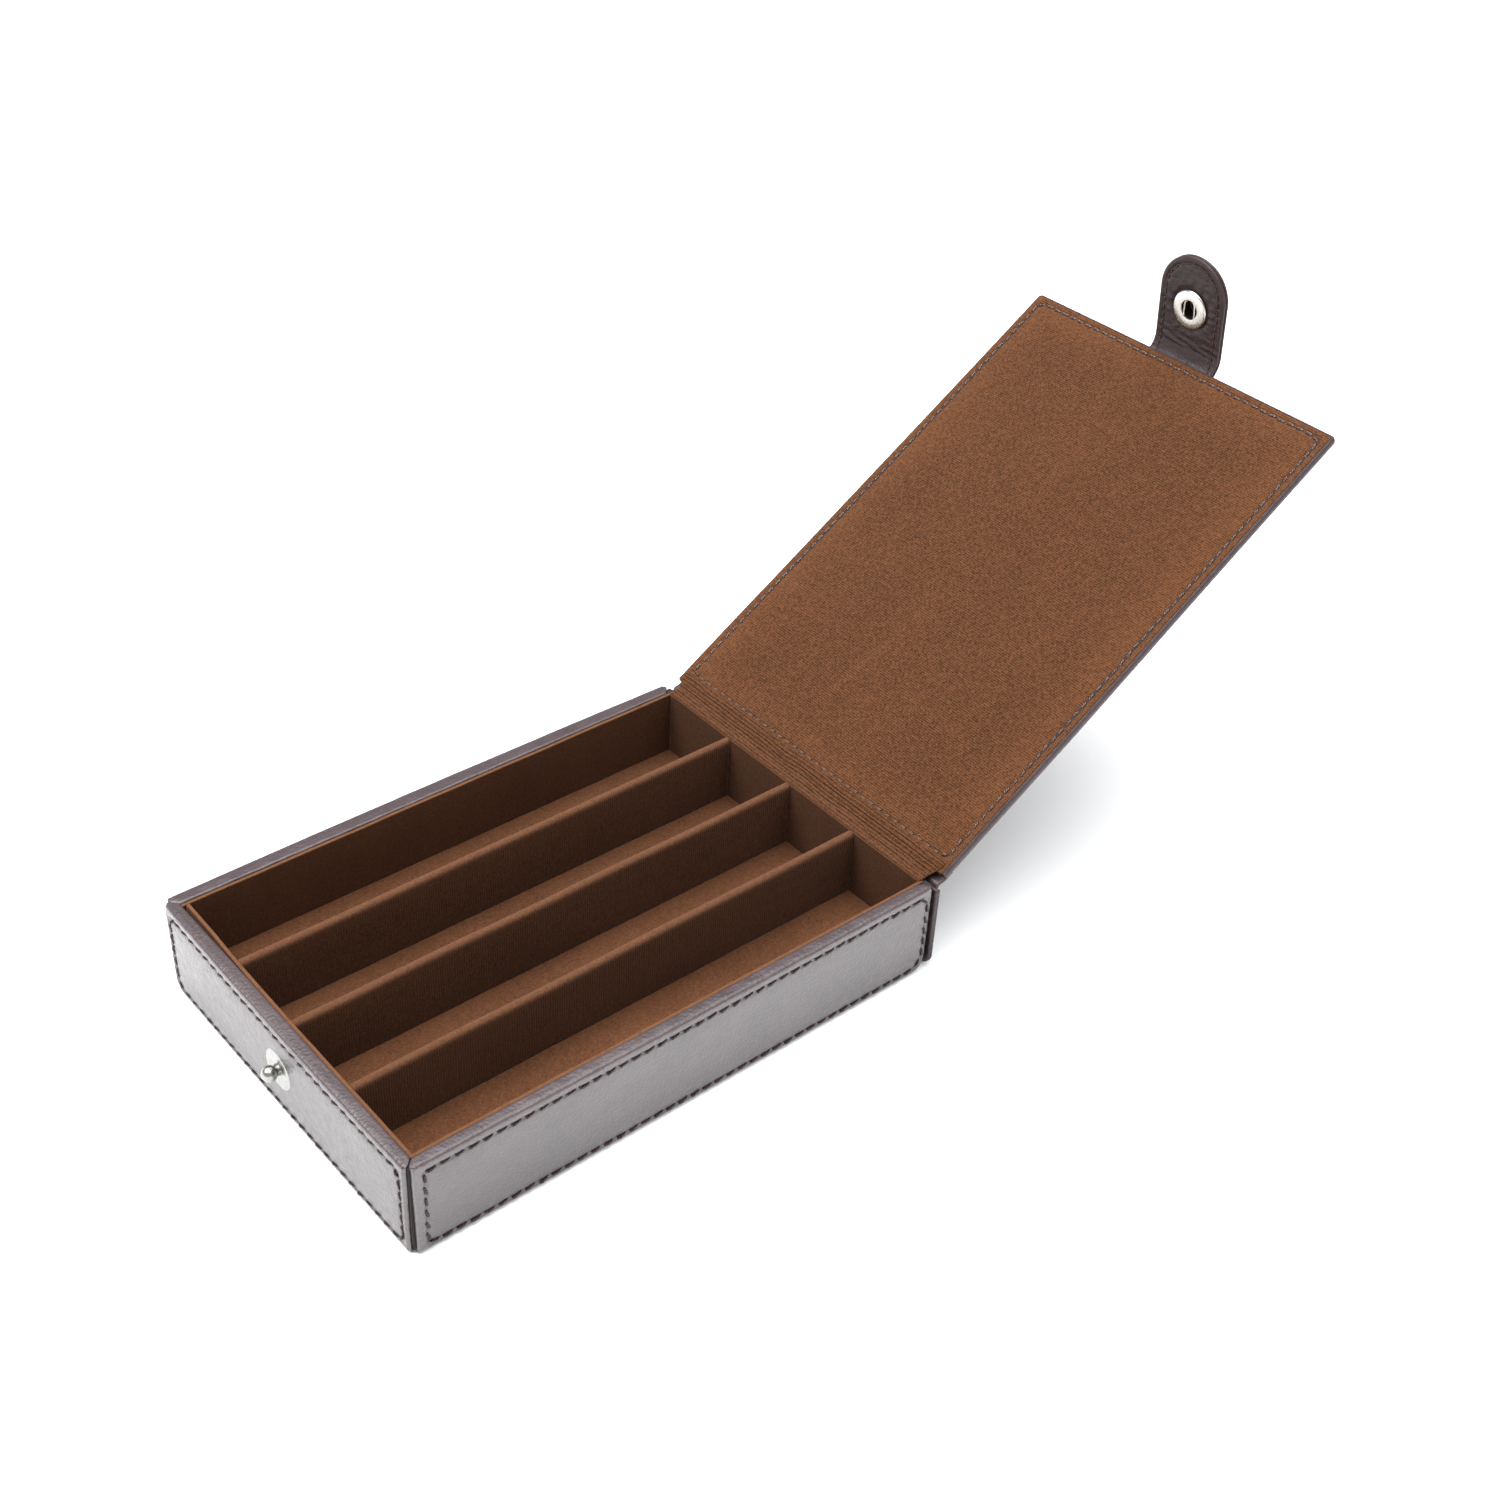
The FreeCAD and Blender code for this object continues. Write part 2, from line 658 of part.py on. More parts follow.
def stud():
    """Washer and ball-headed stud on the front wall, with a flange behind the board."""
    outward = turned(vector(0, -size("case_length") / 2, size("stud_level")), X_AXIS, 90)
    disc = cylinder("stud_washer_disc", "stud_washer_radius", "stud_washer", outward)
    bore = cylinder("stud_washer_bore", "stud_shank", "stud_washer", outward)
    keep(cut("stud_washer_cut", disc, bore), "stud_washer")

    ball = doc.addObject("Part::Sphere", "stud_ball_part")
    bind(ball, "Radius", "stud_ball")
    ball.Placement = outward.multiply(turned(vector(0, 0, size("stud_ball_out")), Z_AXIS, 0))
    neck = cylinder("stud_neck_part", "stud_neck", "stud_ball_out - stud_washer",
                    outward.multiply(turned(vector(0, 0, size("stud_washer")), Z_AXIS, 0)))
    depth = size("hide") + size("wall_board") - size("rivet_flange")
    shank = cylinder("stud_shank_part", "stud_shank", f"{depth} + stud_washer",
                     outward.multiply(turned(vector(0, 0, -depth), Z_AXIS, 0)))
    keep(fuse("stud_post_fuse", [ball, neck, shank]), "stud_post")

    keep(cylinder("stud_rivet_disc", "rivet_radius", "rivet_flange",
                  outward.multiply(turned(vector(0, 0, -depth - size("rivet_flange")), Z_AXIS, 0))),
         "stud_rivet")


# ---------------------------------------------------------------- stitching
def seam_loop(outer, inner, proud):
    """A ring of thread between two closed wires, standing proud along +Z."""
    return Part.Face(outer).cut(Part.Face(inner)).extrude(vector(0, 0, proud))


def rectangle_wire(left, right, near, far):
    corners = [vector(left, near), vector(right, near), vector(right, far), vector(left, far)]
    return Part.makePolygon(corners + corners[:1])


def rectangle_seam(left, right, near, far, level, proud):
    """The seam's middle line is the given rectangle."""
    half = size("thread_width") / 2
    outer = rectangle_wire(left - half, right + half, near - half, far + half)
    inner = rectangle_wire(left + half, right - half, near + half, far - half)
    loop = seam_loop(outer, inner, proud)
    loop.translate(vector(0, 0, level))
    return loop


def wall_seams():
    """One loop of thread on each wall, in a frame that looks at the wall from outside."""
    proud = size("thread_proud")
    half_x = size("case_width") / 2
    half_y = size("case_length") / 2
    inset = size("wall_stitch_inset")
    foot = size("wall_stitch_foot")
    top = size("case_height") - inset
    side_front = -half_y + inset
    side_back = half_y - size("back_cover") - inset
    upright = FreeCAD.Rotation(X_AXIS, 90)
    seams = [
        ("front_stitching", -half_x + inset, half_x - inset, top, vector(0, -half_y, 0), 0),
        ("right_stitching", side_front, side_back, top, vector(half_x, 0, 0), 90),
        ("left_stitching", -side_back, -side_front, top, vector(-half_x, 0, 0), -90),
        ("back_stitching", -half_x + 2 * inset, half_x - 2 * inset, size("back_cover_top") - inset,
         vector(0, half_y, 0), 180),
    ]
    for label, left, right, high, base, heading in seams:
        item = doc.addObject("Part::Feature", f"{label}_thread")
        item.Shape = rectangle_seam(left, right, foot, high, 0, proud)
        item.Placement = FreeCAD.Placement(base, FreeCAD.Rotation(Z_AXIS, heading) * upright)
        keep(item, label)


def lid_seams():
    """Loops of thread on the lid's lining and on its outer hide."""
    inset = size("lid_stitch_inset")
    half = size("lid_width") / 2 - inset
    near = size("lid_near") + size("lid_stitch_near")
    far = size("lid_far") - inset
    proud = size("thread_proud")
    under = -size("lid_hide") - size("lid_board") - size("lid_lining")
    inside = rectangle_seam(-half, half, near, far, 0, proud)
    outside = rectangle_seam(-half, half, near, far, under - proud, proud)
    item = doc.addObject("Part::Feature", "lid_stitching_thread")
    item.Shape = Part.makeCompound([inside, outside])
    item.Placement = LID_FRAME
    keep(item, "lid_stitching")


def tab_seams():
    """Thread round the tab, on both faces."""
    proud = size("thread_proud")
    width = size("thread_width")
    inset = size("tab_stitch_inset")
    near = size("tab_near") + size("tab_stitch_near")
    middle = size("tab_tip") - size("tab_width") / 2
    bands = []
    for level in (size("tab_layer"), -size("tab_layer") - proud):
        rails = []
        for half in (size("tab_width") / 2 - inset, size("tab_width") / 2 - inset - width):
            rails.append([
                Part.LineSegment(vector(half, near), vector(half, middle)).toShape(),
                Part.Arc(vector(half, middle), vector(0, middle + half), vector(-half, middle)).toShape(),
                Part.LineSegment(vector(-half, middle), vector(-half, near)).toShape(),
            ])
        outer, inner = rails
        ends = [
            Part.LineSegment(outer[0].Vertexes[0].Point, inner[0].Vertexes[0].Point).toShape(),
            Part.LineSegment(outer[2].Vertexes[-1].Point, inner[2].Vertexes[-1].Point).toShape(),
        ]
        ring = Part.Wire(Part.__sortEdges__(outer + inner + ends))
        band = Part.Face(ring).extrude(vector(0, 0, proud))
        band.translate(vector(0, 0, level))
        bands.append(band)
    item = doc.addObject("Part::Feature", "tab_stitching_thread")
    item.Shape = Part.makeCompound(bands)
    item.Placement = TAB_FRAME
    keep(item, "tab_stitching")


# ---------------------------------------------------------------- build and write
def check(item):
    """Stop on a sub-part that failed quietly."""
    for feature in [item] + list(getattr(item, "Group", [])):
        if "Invalid" in feature.State or "Error" in feature.State:
            raise RuntimeError(f"{item.Label}: {feature.Name} is {feature.State}")
    if item.Shape.isNull() or not item.Shape.isValid():
        raise RuntimeError(f"{item.Label} has no valid shape")
    if item.Shape.Volume <= 0:
        raise RuntimeError(f"{item.Label} has no volume")


tray_walls()
back_leather()
tray_boards()
tray_linings()
dividers()
floor_pads()
lid()
hinge_strips()
tab()
snap_socket()
snap_spring()
snap_cap()
stud()
wall_seams()
lid_seams()
tab_seams()
doc.recompute()

for item in doc.Objects:
    if "Invalid" in item.State or "Error" in item.State:
        raise RuntimeError(f"{item.Name} is {item.State}")

os.makedirs("parts", exist_ok=True)
for item in subparts:
    check(item)
    item.Shape.exportStep(f"parts/{item.Label}.step")
    bounds = item.Shape.BoundBox
    print(f"{item.Label}: {item.Shape.Volume:.1f} mm3, {len(item.Shape.Solids)} solids, "
          f"z {bounds.ZMin:.2f} to {bounds.ZMax:.2f}")
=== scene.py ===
import math
import random

import bmesh
import bpy
import numpy as np
from mathutils import Matrix, Quaternion, Vector


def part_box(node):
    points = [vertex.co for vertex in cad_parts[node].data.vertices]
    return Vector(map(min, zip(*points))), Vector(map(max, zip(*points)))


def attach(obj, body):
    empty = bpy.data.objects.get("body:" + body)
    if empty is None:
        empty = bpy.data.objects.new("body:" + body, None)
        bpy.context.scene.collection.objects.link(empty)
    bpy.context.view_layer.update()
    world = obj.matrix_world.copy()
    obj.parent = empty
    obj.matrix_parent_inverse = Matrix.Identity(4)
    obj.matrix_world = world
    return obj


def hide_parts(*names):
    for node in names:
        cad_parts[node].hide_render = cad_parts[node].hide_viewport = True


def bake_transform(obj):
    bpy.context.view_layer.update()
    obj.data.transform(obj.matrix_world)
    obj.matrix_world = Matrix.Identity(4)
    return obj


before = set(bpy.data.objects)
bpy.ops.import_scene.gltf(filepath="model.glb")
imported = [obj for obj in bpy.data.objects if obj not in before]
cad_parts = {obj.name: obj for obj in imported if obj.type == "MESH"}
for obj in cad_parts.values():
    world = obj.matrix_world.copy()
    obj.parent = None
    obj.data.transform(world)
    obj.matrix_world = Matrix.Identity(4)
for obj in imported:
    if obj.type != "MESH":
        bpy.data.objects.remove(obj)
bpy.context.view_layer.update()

# ---------------------------------------------------------------- sizes, in millimetres
MM = 0.001


def cad_box(node):
    """The low and high corners of a CAD node's box, in millimetres."""
    return [[part / MM for part in corner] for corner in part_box(node)]


FRONT_LOW, FRONT_HIGH = cad_box("front_leather")
BACK_LOW, BACK_HIGH = cad_box("back_leather")
CARD_LOW, CARD_HIGH = cad_box("front_lining")
HALF_X = cad_box("right_leather")[1][0]
HALF_Y, HEIGHT, RIM = -FRONT_LOW[1], FRONT_HIGH[2], FRONT_HIGH[1] - FRONT_LOW[1]
BACK_INNER, BACK_HALF, BACK_TOP = BACK_LOW[1], BACK_HIGH[0], BACK_HIGH[2]
LINING_FOOT, LINING_TOP, LINING_FACE_Y = CARD_LOW[2], CARD_HIGH[2], -CARD_HIGH[1]
LINING_FACE_X = cad_box("right_lining")[0][0]
HIDE, LINING = 0.9, 0.9
SEAM_GAP = 0.2
WALL_SEAM_TOP, WALL_SEAM_FOOT = HEIGHT - 3.0, 1.9
WALL_GRID = 0.62
LID_ANGLE = math.radians(32.26)
LID_HALF = cad_box("lid_leather")[1][0]
LID_NEAR, LID_FAR, LID_LEVEL = 1.5, 162.5, 29.5
LID_HIDE, LID_BOARD, LID_LINING = 0.8, 1.7, 0.5
LID_THICK = LID_HIDE + LID_BOARD + LID_LINING
LID_SEAM, LID_EDGE = 3.0, 1.35
TAB_ANGLE = math.radians(63)
TAB_OUT, TAB_DOWN = 165.0, 1.5
TAB_HALF, TAB_TIP, TAB_LAYER, TAB_SEAM = 11.5, 31.0, 1.1, 2.1
TAB_ROOT, TAB_BEND = 9.0, 6.5
SNAP_REACH, STUD_LEVEL = 15.3, 15.7
RIB_PITCH = 0.65
STITCH, LID_STITCH, TAB_STITCH = 3.8, 3.1, 2.4
TOUCH = 0.01  # slack when grid lines are compared

DICE = random.Random(7)


def turn(axis, angle):
    return Matrix.Rotation(angle, 4, axis)


def shift(x=0.0, y=0.0, z=0.0):
    """A move in millimetres, as a matrix in metres."""
    return Matrix.Translation(Vector((x, y, z)) * MM)


def spot_in(matrix, x, y, z):
    """The row-frame place, in metres, of a point in millimetres of the matrix's frame."""
    return matrix @ (Vector((x, y, z)) * MM)


TRAY = Matrix.Identity(4)
LID = shift(0, HALF_Y, LID_LEVEL) @ turn("X", LID_ANGLE)
TAB = LID @ shift(0, TAB_OUT, -TAB_DOWN) @ turn("X", TAB_ANGLE)
# Wall frames: X along the wall, Y inwards from its outer face, Z up.
SIDE_MIDDLE, SIDE_HALF = (BACK_INNER - HALF_Y) / 2, (BACK_INNER + HALF_Y) / 2
FRONT = shift(0, -HALF_Y)
RIGHT = shift(HALF_X, SIDE_MIDDLE) @ turn("Z", math.radians(90))
LEFT = shift(-HALF_X, SIDE_MIDDLE) @ turn("Z", math.radians(-90))
BACK = shift(0, HALF_Y) @ turn("Z", math.radians(180))


# ---------------------------------------------------------------- mesh building
def steps(low, high, spacing, extra=()):
    """Grid lines from low to high about spacing apart, with extra lines among them."""
    count = max(int(round((high - low) / spacing)), 1)
    inside = [line for line in extra if low < line < high]
    even = [line for line in np.linspace(low, high, count + 1)[1:-1]
            if all(abs(line - other) > 0.3 * spacing for other in inside)]
    return np.array(sorted([low, high] + inside + even))


def about(places, reach):
    """Extra grid lines close to each of the places."""
    return [place + reach * step / 3 for place in places for step in range(-3, 4)]


def edges(low, high, radius):
    """Extra grid lines where an edge of this radius is rounded."""
    insets = [radius * part for part in (0.08, 0.22, 0.42, 0.68, 1.0)]
    return [low + inset for inset in insets] + [high - inset for inset in insets]


def grid(x, y, z):
    return np.stack(np.meshgrid(x, y, z, indexing="ij"), -1)


def parts(points):
    """The coordinates of an array of points, as views of it."""
    return np.moveaxis(points, -1, 0)


def join(*coordinates):
    return np.stack(coordinates, -1)


def in_row(points, matrix):
    """Points in millimetres of a local frame, as metres in the row frame."""
    spin = np.array(matrix.to_3x3())
    return points * MM @ spin.T + np.array(matrix.translation)


def mesh_object(name, points, faces, place):
    """An object from row-frame points and faces. place holds each point's flat material place."""
    mesh = bpy.data.meshes.new(name)
    mesh.from_pydata(points.tolist(), [], faces)
    mesh.validate()
    attribute = mesh.attributes.new("place", "FLOAT_VECTOR", "POINT")
    attribute.data.foreach_set("vector", place.astype(np.float32).ravel())
    mesh.shade_smooth()
    piece = bpy.data.objects.new(name, mesh)
    bpy.context.scene.collection.objects.link(piece)
    return piece


def lattice(name, points, place, matrix, keep=None, **masks):
    """A closed skin of quads round a block of cells.

    points and place are arrays (across, along, through, 3): each grid point's own-frame
    position and its flat place. keep says which cells are filled. masks are one number a
    point, for the material.
    """
    sizes = points.shape[:3]
    if keep is None:
        keep = np.ones([size - 1 for size in sizes], bool)
    index = np.arange(np.prod(sizes)).reshape(sizes)
    quads = []
    for axis in range(3):
        order = (axis, (axis + 1) % 3, (axis + 2) % 3)
        corner = np.moveaxis(index, order, (0, 1, 2))
        cells = np.pad(np.moveaxis(keep, order, (0, 1, 2)), ((1, 1), (0, 0), (0, 0)))
        ring = join(corner[:, :-1, :-1], corner[:, 1:, :-1], corner[:, 1:, 1:], corner[:, :-1, 1:])
        quads.append(ring[cells[:-1] & ~cells[1:]])
        quads.append(ring[cells[1:] & ~cells[:-1]][:, ::-1])
    quads = np.concatenate(quads)
    flat = in_row(points.reshape(-1, 3), matrix)
    a, b, c, d = (flat[quads[:, corner]] for corner in range(4))
    if np.einsum("ij,ij->i", a, np.cross(b, c) + np.cross(c, d)).sum() < 0:
        quads = quads[:, ::-1]
    used, inverse = np.unique(quads, return_inverse=True)
    quads = inverse.reshape(quads.shape)
    piece = mesh_object(name, flat[used], quads.tolist(), place.reshape(-1, 3)[used])
    for label, values in masks.items():
        attribute = piece.data.attributes.new(label, "FLOAT", "POINT")
        attribute.data.foreach_set("value", values.ravel()[used].astype(np.float32))
    return piece


# The corners of a rectangle, as the sign of each coordinate. Lists of four radii follow this order.
CORNERS = ((-1, -1), (1, -1), (1, 1), (-1, 1))


def each_corner(first, second, low, high, radius, least=0.0):
    """For each corner: its signs, radius and centre, and how far the points are past the centre.

    radius is one number or four. No radius is taken as less than least.
    """
    radii = radius if isinstance(radius, (list, tuple)) else [radius] * 4
    for size, (side, level) in zip(radii, CORNERS):
        size = max(size, least)
        core_first = low[0] + size if side < 0 else high[0] - size
        core_second = low[1] + size if level < 0 else high[1] - size
        out = side * (first - core_first), level * (second - core_second)
        yield (side, level), size, (core_first, core_second), out


def box_round(first, second, low, high, radius):
    """Round the four corners of a rectangle: first and second are coordinate arrays."""
    source = first, second
    for (side, level), size, core, out in each_corner(*source, low, high, radius):
        if size > 0:
            near = (out[0] > 0) & (out[1] > 0)
            ratio = np.where(near, np.maximum(*out) / np.maximum(np.hypot(*out), 1e-9), 1.0)
            first = np.where(near, core[0] + side * out[0] * ratio, first)
            second = np.where(near, core[1] + level * out[1] * ratio, second)
    return first, second


def rounded_slab(points, low, high, plan, edge):
    """Round a slab's plan corners, then the edges of its two large faces.

    The large faces are square to the third axis. Also gives each point's distance from the side.
    """
    x, y = box_round(points[..., 0], points[..., 1], low, high, plan)
    z = points[..., 2]
    sides = np.stack([x - low[0], high[0] - x, y - low[1], high[1] - y])
    inset, nearest = sides.min(0), sides.argmin(0)
    normal_x = np.select([nearest == 0, nearest == 1], [-1.0, 1.0], 0.0)
    normal_y = np.select([nearest == 2, nearest == 3], [-1.0, 1.0], 0.0)
    for (side, level), size, _, out in each_corner(x, y, low, high, plan, edge):
        near = (out[0] > 0) & (out[1] > 0)
        length = np.maximum(np.hypot(*out), 1e-9)
        inset = np.where(near, np.maximum(size - length, 0), inset)
        normal_x = np.where(near, side * out[0] / length, normal_x)
        normal_y = np.where(near, level * out[1] / length, normal_y)
    depth = np.clip(edge - inset, 0, edge)
    rise = np.clip(z - (high[2] - edge), 0, edge) - np.clip(low[2] + edge - z, 0, edge)
    ratio = np.maximum(depth, np.abs(rise)) / np.maximum(np.hypot(depth, rise), 1e-9)
    ratio = np.where((depth > 0) & (rise != 0), ratio, 1.0)
    move = depth * (ratio - 1)
    return join(x + normal_x * move, y + normal_y * move, z + rise * (ratio - 1)), inset


def ripple(x, y, seed, wave, count=7, lean=None):
    """Smooth, irregular height from -1 to 1 made of crossing waves about wave long."""
    dice = random.Random(seed)
    total = np.zeros(np.broadcast(x, y).shape)
    for _ in range(count):
        heading = dice.uniform(0, math.tau) if lean is None else lean + dice.gauss(0, 0.35)
        pace = math.tau / (wave * dice.uniform(0.6, 1.7))
        phase = dice.uniform(0, math.tau)
        total += np.sin(pace * (x * math.cos(heading) + y * math.sin(heading)) + phase)
    return total / count ** 0.5 / 1.4


def fall(distance, reach):
    """A soft bump: 1 at no distance, near 0 past reach."""
    return np.exp(-((distance / reach) ** 2))


def smooth(value, low, high):
    part = np.clip((value - low) / (high - low), 0, 1)
    return part * part * (3 - 2 * part)


def arc(centre, radius, start, end, count=8):
    """Points of an arc, its angles in degrees."""
    angles = [math.radians(start + (end - start) * step / count) for step in range(count + 1)]
    return [(centre[0] + radius * math.cos(a), centre[1] + radius * math.sin(a)) for a in angles]


# ---------------------------------------------------------------- seams
def loop_distance(x, y, low, high, radii):
    """Distance from the outline of a rectangle with rounded corners, and the same below 0 inside it."""
    middle = ((low[0] + high[0]) / 2, (low[1] + high[1]) / 2)
    signed = np.zeros(x.shape)
    for (side, level), size, _, out in each_corner(x, y, low, high, radii):
        here = (side * (x - middle[0]) >= 0) & (level * (y - middle[1]) >= 0)
        beyond = np.hypot(np.maximum(out[0], 0), np.maximum(out[1], 0))
        signed = np.where(here, beyond + np.minimum(np.maximum(*out), 0) - size, signed)
    return np.abs(signed), signed


def loop_route(low, high, radii):
    """The outline of a rectangle with rounded corners, as closely spaced points."""
    points = []
    for size, (side, level), start in zip(radii, CORNERS, (180, 270, 0, 90)):
        centre = (low[0] + size if side < 0 else high[0] - size, low[1] + size if level < 0 else high[1] - size)
        points += arc(centre, size, start, start + 90)
    return np.array(points + points[:1])


def walk(route, pitch):
    """Evenly spaced middles and directions along a route, a whole number of stitches."""
    length = np.concatenate([[0], np.cumsum(np.hypot(*np.diff(route, axis=0).T))])
    ends = np.linspace(0, length[-1], int(round(length[-1] / pitch)) + 1)
    at = join(*(np.interp(ends, length, route[:, axis]) for axis in (0, 1)))
    return (at[1:] + at[:-1]) / 2, at[1:] - at[:-1]


def pinch(x, y, route, pitch, reach=0.8):
    """1 at each stitch hole, falling to 0 away from it."""
    middles, headings = walk(route, pitch)
    nearest = np.full(x.shape, 1e9)
    for hole in middles + headings / 2:
        nearest = np.minimum(nearest, (x - hole[0]) ** 2 + (y - hole[1]) ** 2)
    return np.exp(-nearest / reach ** 2)


def sleeve(first, rings, sides):
    """Faces of a closed tube of rings of points that are numbered from first."""
    faces = []
    for ring in range(rings - 1):
        for side in range(sides):
            a, b = (first + ring * sides + place % sides for place in (side, side + 1))
            faces.append((a, b, b + sides, a + sides))
    last = first + (rings - 1) * sides
    return faces + [tuple(range(first + sides - 1, first - 1, -1)), tuple(range(last, last + sides))]


def stitching(name, route, wrap, matrix, pitch=STITCH, thread=0.36, lean=12, cover=0.84, proud=0.2):
    """One closed body for each stitch, its ends sunk into the material.

    wrap turns flat points (x, y, height over the surface) into the matrix's frame. thread is a
    radius, lean is each stitch's turn in degrees, and cover is the share of the pitch it fills.
    """
    rings, sides = 9, 8
    points, faces, places = [], [], []
    part = np.linspace(-1, 1, rings)
    for number, (middle, heading) in enumerate(zip(*walk(route, pitch))):
        span = np.hypot(*heading)
        along = heading / max(span, 1e-9)
        slant = math.radians(lean + DICE.gauss(0, 4))
        along = np.array([along[0] * math.cos(slant) - along[1] * math.sin(slant),
                          along[0] * math.sin(slant) + along[1] * math.cos(slant)])
        across = np.array([-along[1], along[0]])
        half = span * cover / 2 * DICE.uniform(0.93, 1.07)
        shift_across = DICE.gauss(0, 0.06)
        line = proud * DICE.uniform(0.85, 1.15) - 0.55 * np.abs(part) ** 5
        width = thread * (1 - 0.35 * part ** 4)
        faces += sleeve(len(points), rings, sides)
        for ring in range(rings):
            for side in range(sides):
                angle = math.tau * side / sides
                sideways = shift_across + width[ring] * math.cos(angle)
                spot = middle + along * half * part[ring] + across * sideways
                points.append((spot[0], spot[1], line[ring] + 0.8 * width[ring] * math.sin(angle)))
                places.append((half * part[ring], angle / math.tau, number))
    piece = mesh_object(name, in_row(wrap(np.array(points)), matrix), faces, np.array(places))
    make_outward(piece)
    return piece


def make_outward(piece):
    """Turn every face outwards when the whole mesh is inside out."""
    mesh = piece.data
    mesh.calc_loop_triangles()
    corners = np.zeros(len(mesh.loop_triangles) * 3, np.int32)
    mesh.loop_triangles.foreach_get("vertices", corners)
    places = np.zeros(len(mesh.vertices) * 3)
    mesh.vertices.foreach_get("co", places)
    a, b, c = places.reshape(-1, 3)[corners.reshape(-1, 3)].transpose(1, 0, 2)
    if np.einsum("ij,ij->i", a - places[:3], np.cross(b - places[:3], c - places[:3])).sum() < 0:
        mesh.flip_normals()


def weld(piece):
    """Join points that meet, as on a turned piece's axis."""
    work = bmesh.new()
    work.from_mesh(piece.data)
    bmesh.ops.remove_doubles(work, verts=work.verts, dist=1e-7)
    work.to_mesh(piece.data)
    work.free()


def lathe(name, profile, matrix, sides=96):
    """A turned piece about the matrix's Z axis. profile is a closed line of (radius, height)."""
    angles = [math.tau * step / sides for step in range(sides)]
    points = np.array([(radius * math.cos(angle), radius * math.sin(angle), height)
                       for angle in angles for radius, height in profile])
    count, faces = len(profile), []
    for step in range(sides):
        near, far = step * count, (step + 1) % sides * count
        for spot in range(count):
            following = (spot + 1) % count
            faces.append((near + spot, far + spot, far + following, near + following))
    piece = mesh_object(name, in_row(points, matrix), faces, points)
    weld(piece)
    make_outward(piece)
    piece.data.set_sharp_from_angle(angle=math.radians(35))
    return piece


def tube(name, path, radius, matrix, sides=12):
    """A round wire along a path of points in the matrix's frame."""
    runs = np.gradient(path, axis=0)
    runs /= np.linalg.norm(runs, axis=1)[:, None]
    points = []
    for spot, run in zip(path, runs):
        across = np.cross(run, (0.0, 0.0, 1.0))
        across /= np.linalg.norm(across)
        over = np.cross(across, run)
        for side in range(sides):
            angle = math.tau * side / sides
            points.append(spot + radius * (across * math.cos(angle) + over * math.sin(angle)))
    piece = mesh_object(name, in_row(np.array(points), matrix), sleeve(0, len(path), sides),
                        np.repeat(path, sides, axis=0))
    make_outward(piece)
    return piece


def spline(points, count):
    """Evenly spaced points of a smooth curve through given ones, and their distances along it."""
    given = np.array(points, float)
    padded = np.vstack([2 * given[0] - given[1], given, 2 * given[-1] - given[-2]])
    dense = []
    for index in range(1, len(padded) - 2):
        before, start, end, after = padded[index - 1:index + 3]
        for part in np.linspace(0, 1, 24, endpoint=False):
            dense.append(0.5 * (2 * start + (end - before) * part
                                + (2 * before - 5 * start + 4 * end - after) * part ** 2
                                + (3 * start - before - 3 * end + after) * part ** 3))
    dense = np.array(dense + [given[-1]])
    length = np.concatenate([[0], np.cumsum(np.linalg.norm(np.diff(dense, axis=0), axis=1))])
    even = np.linspace(0, length[-1], count)
    return join(*(np.interp(even, length, line) for line in dense.T)), even


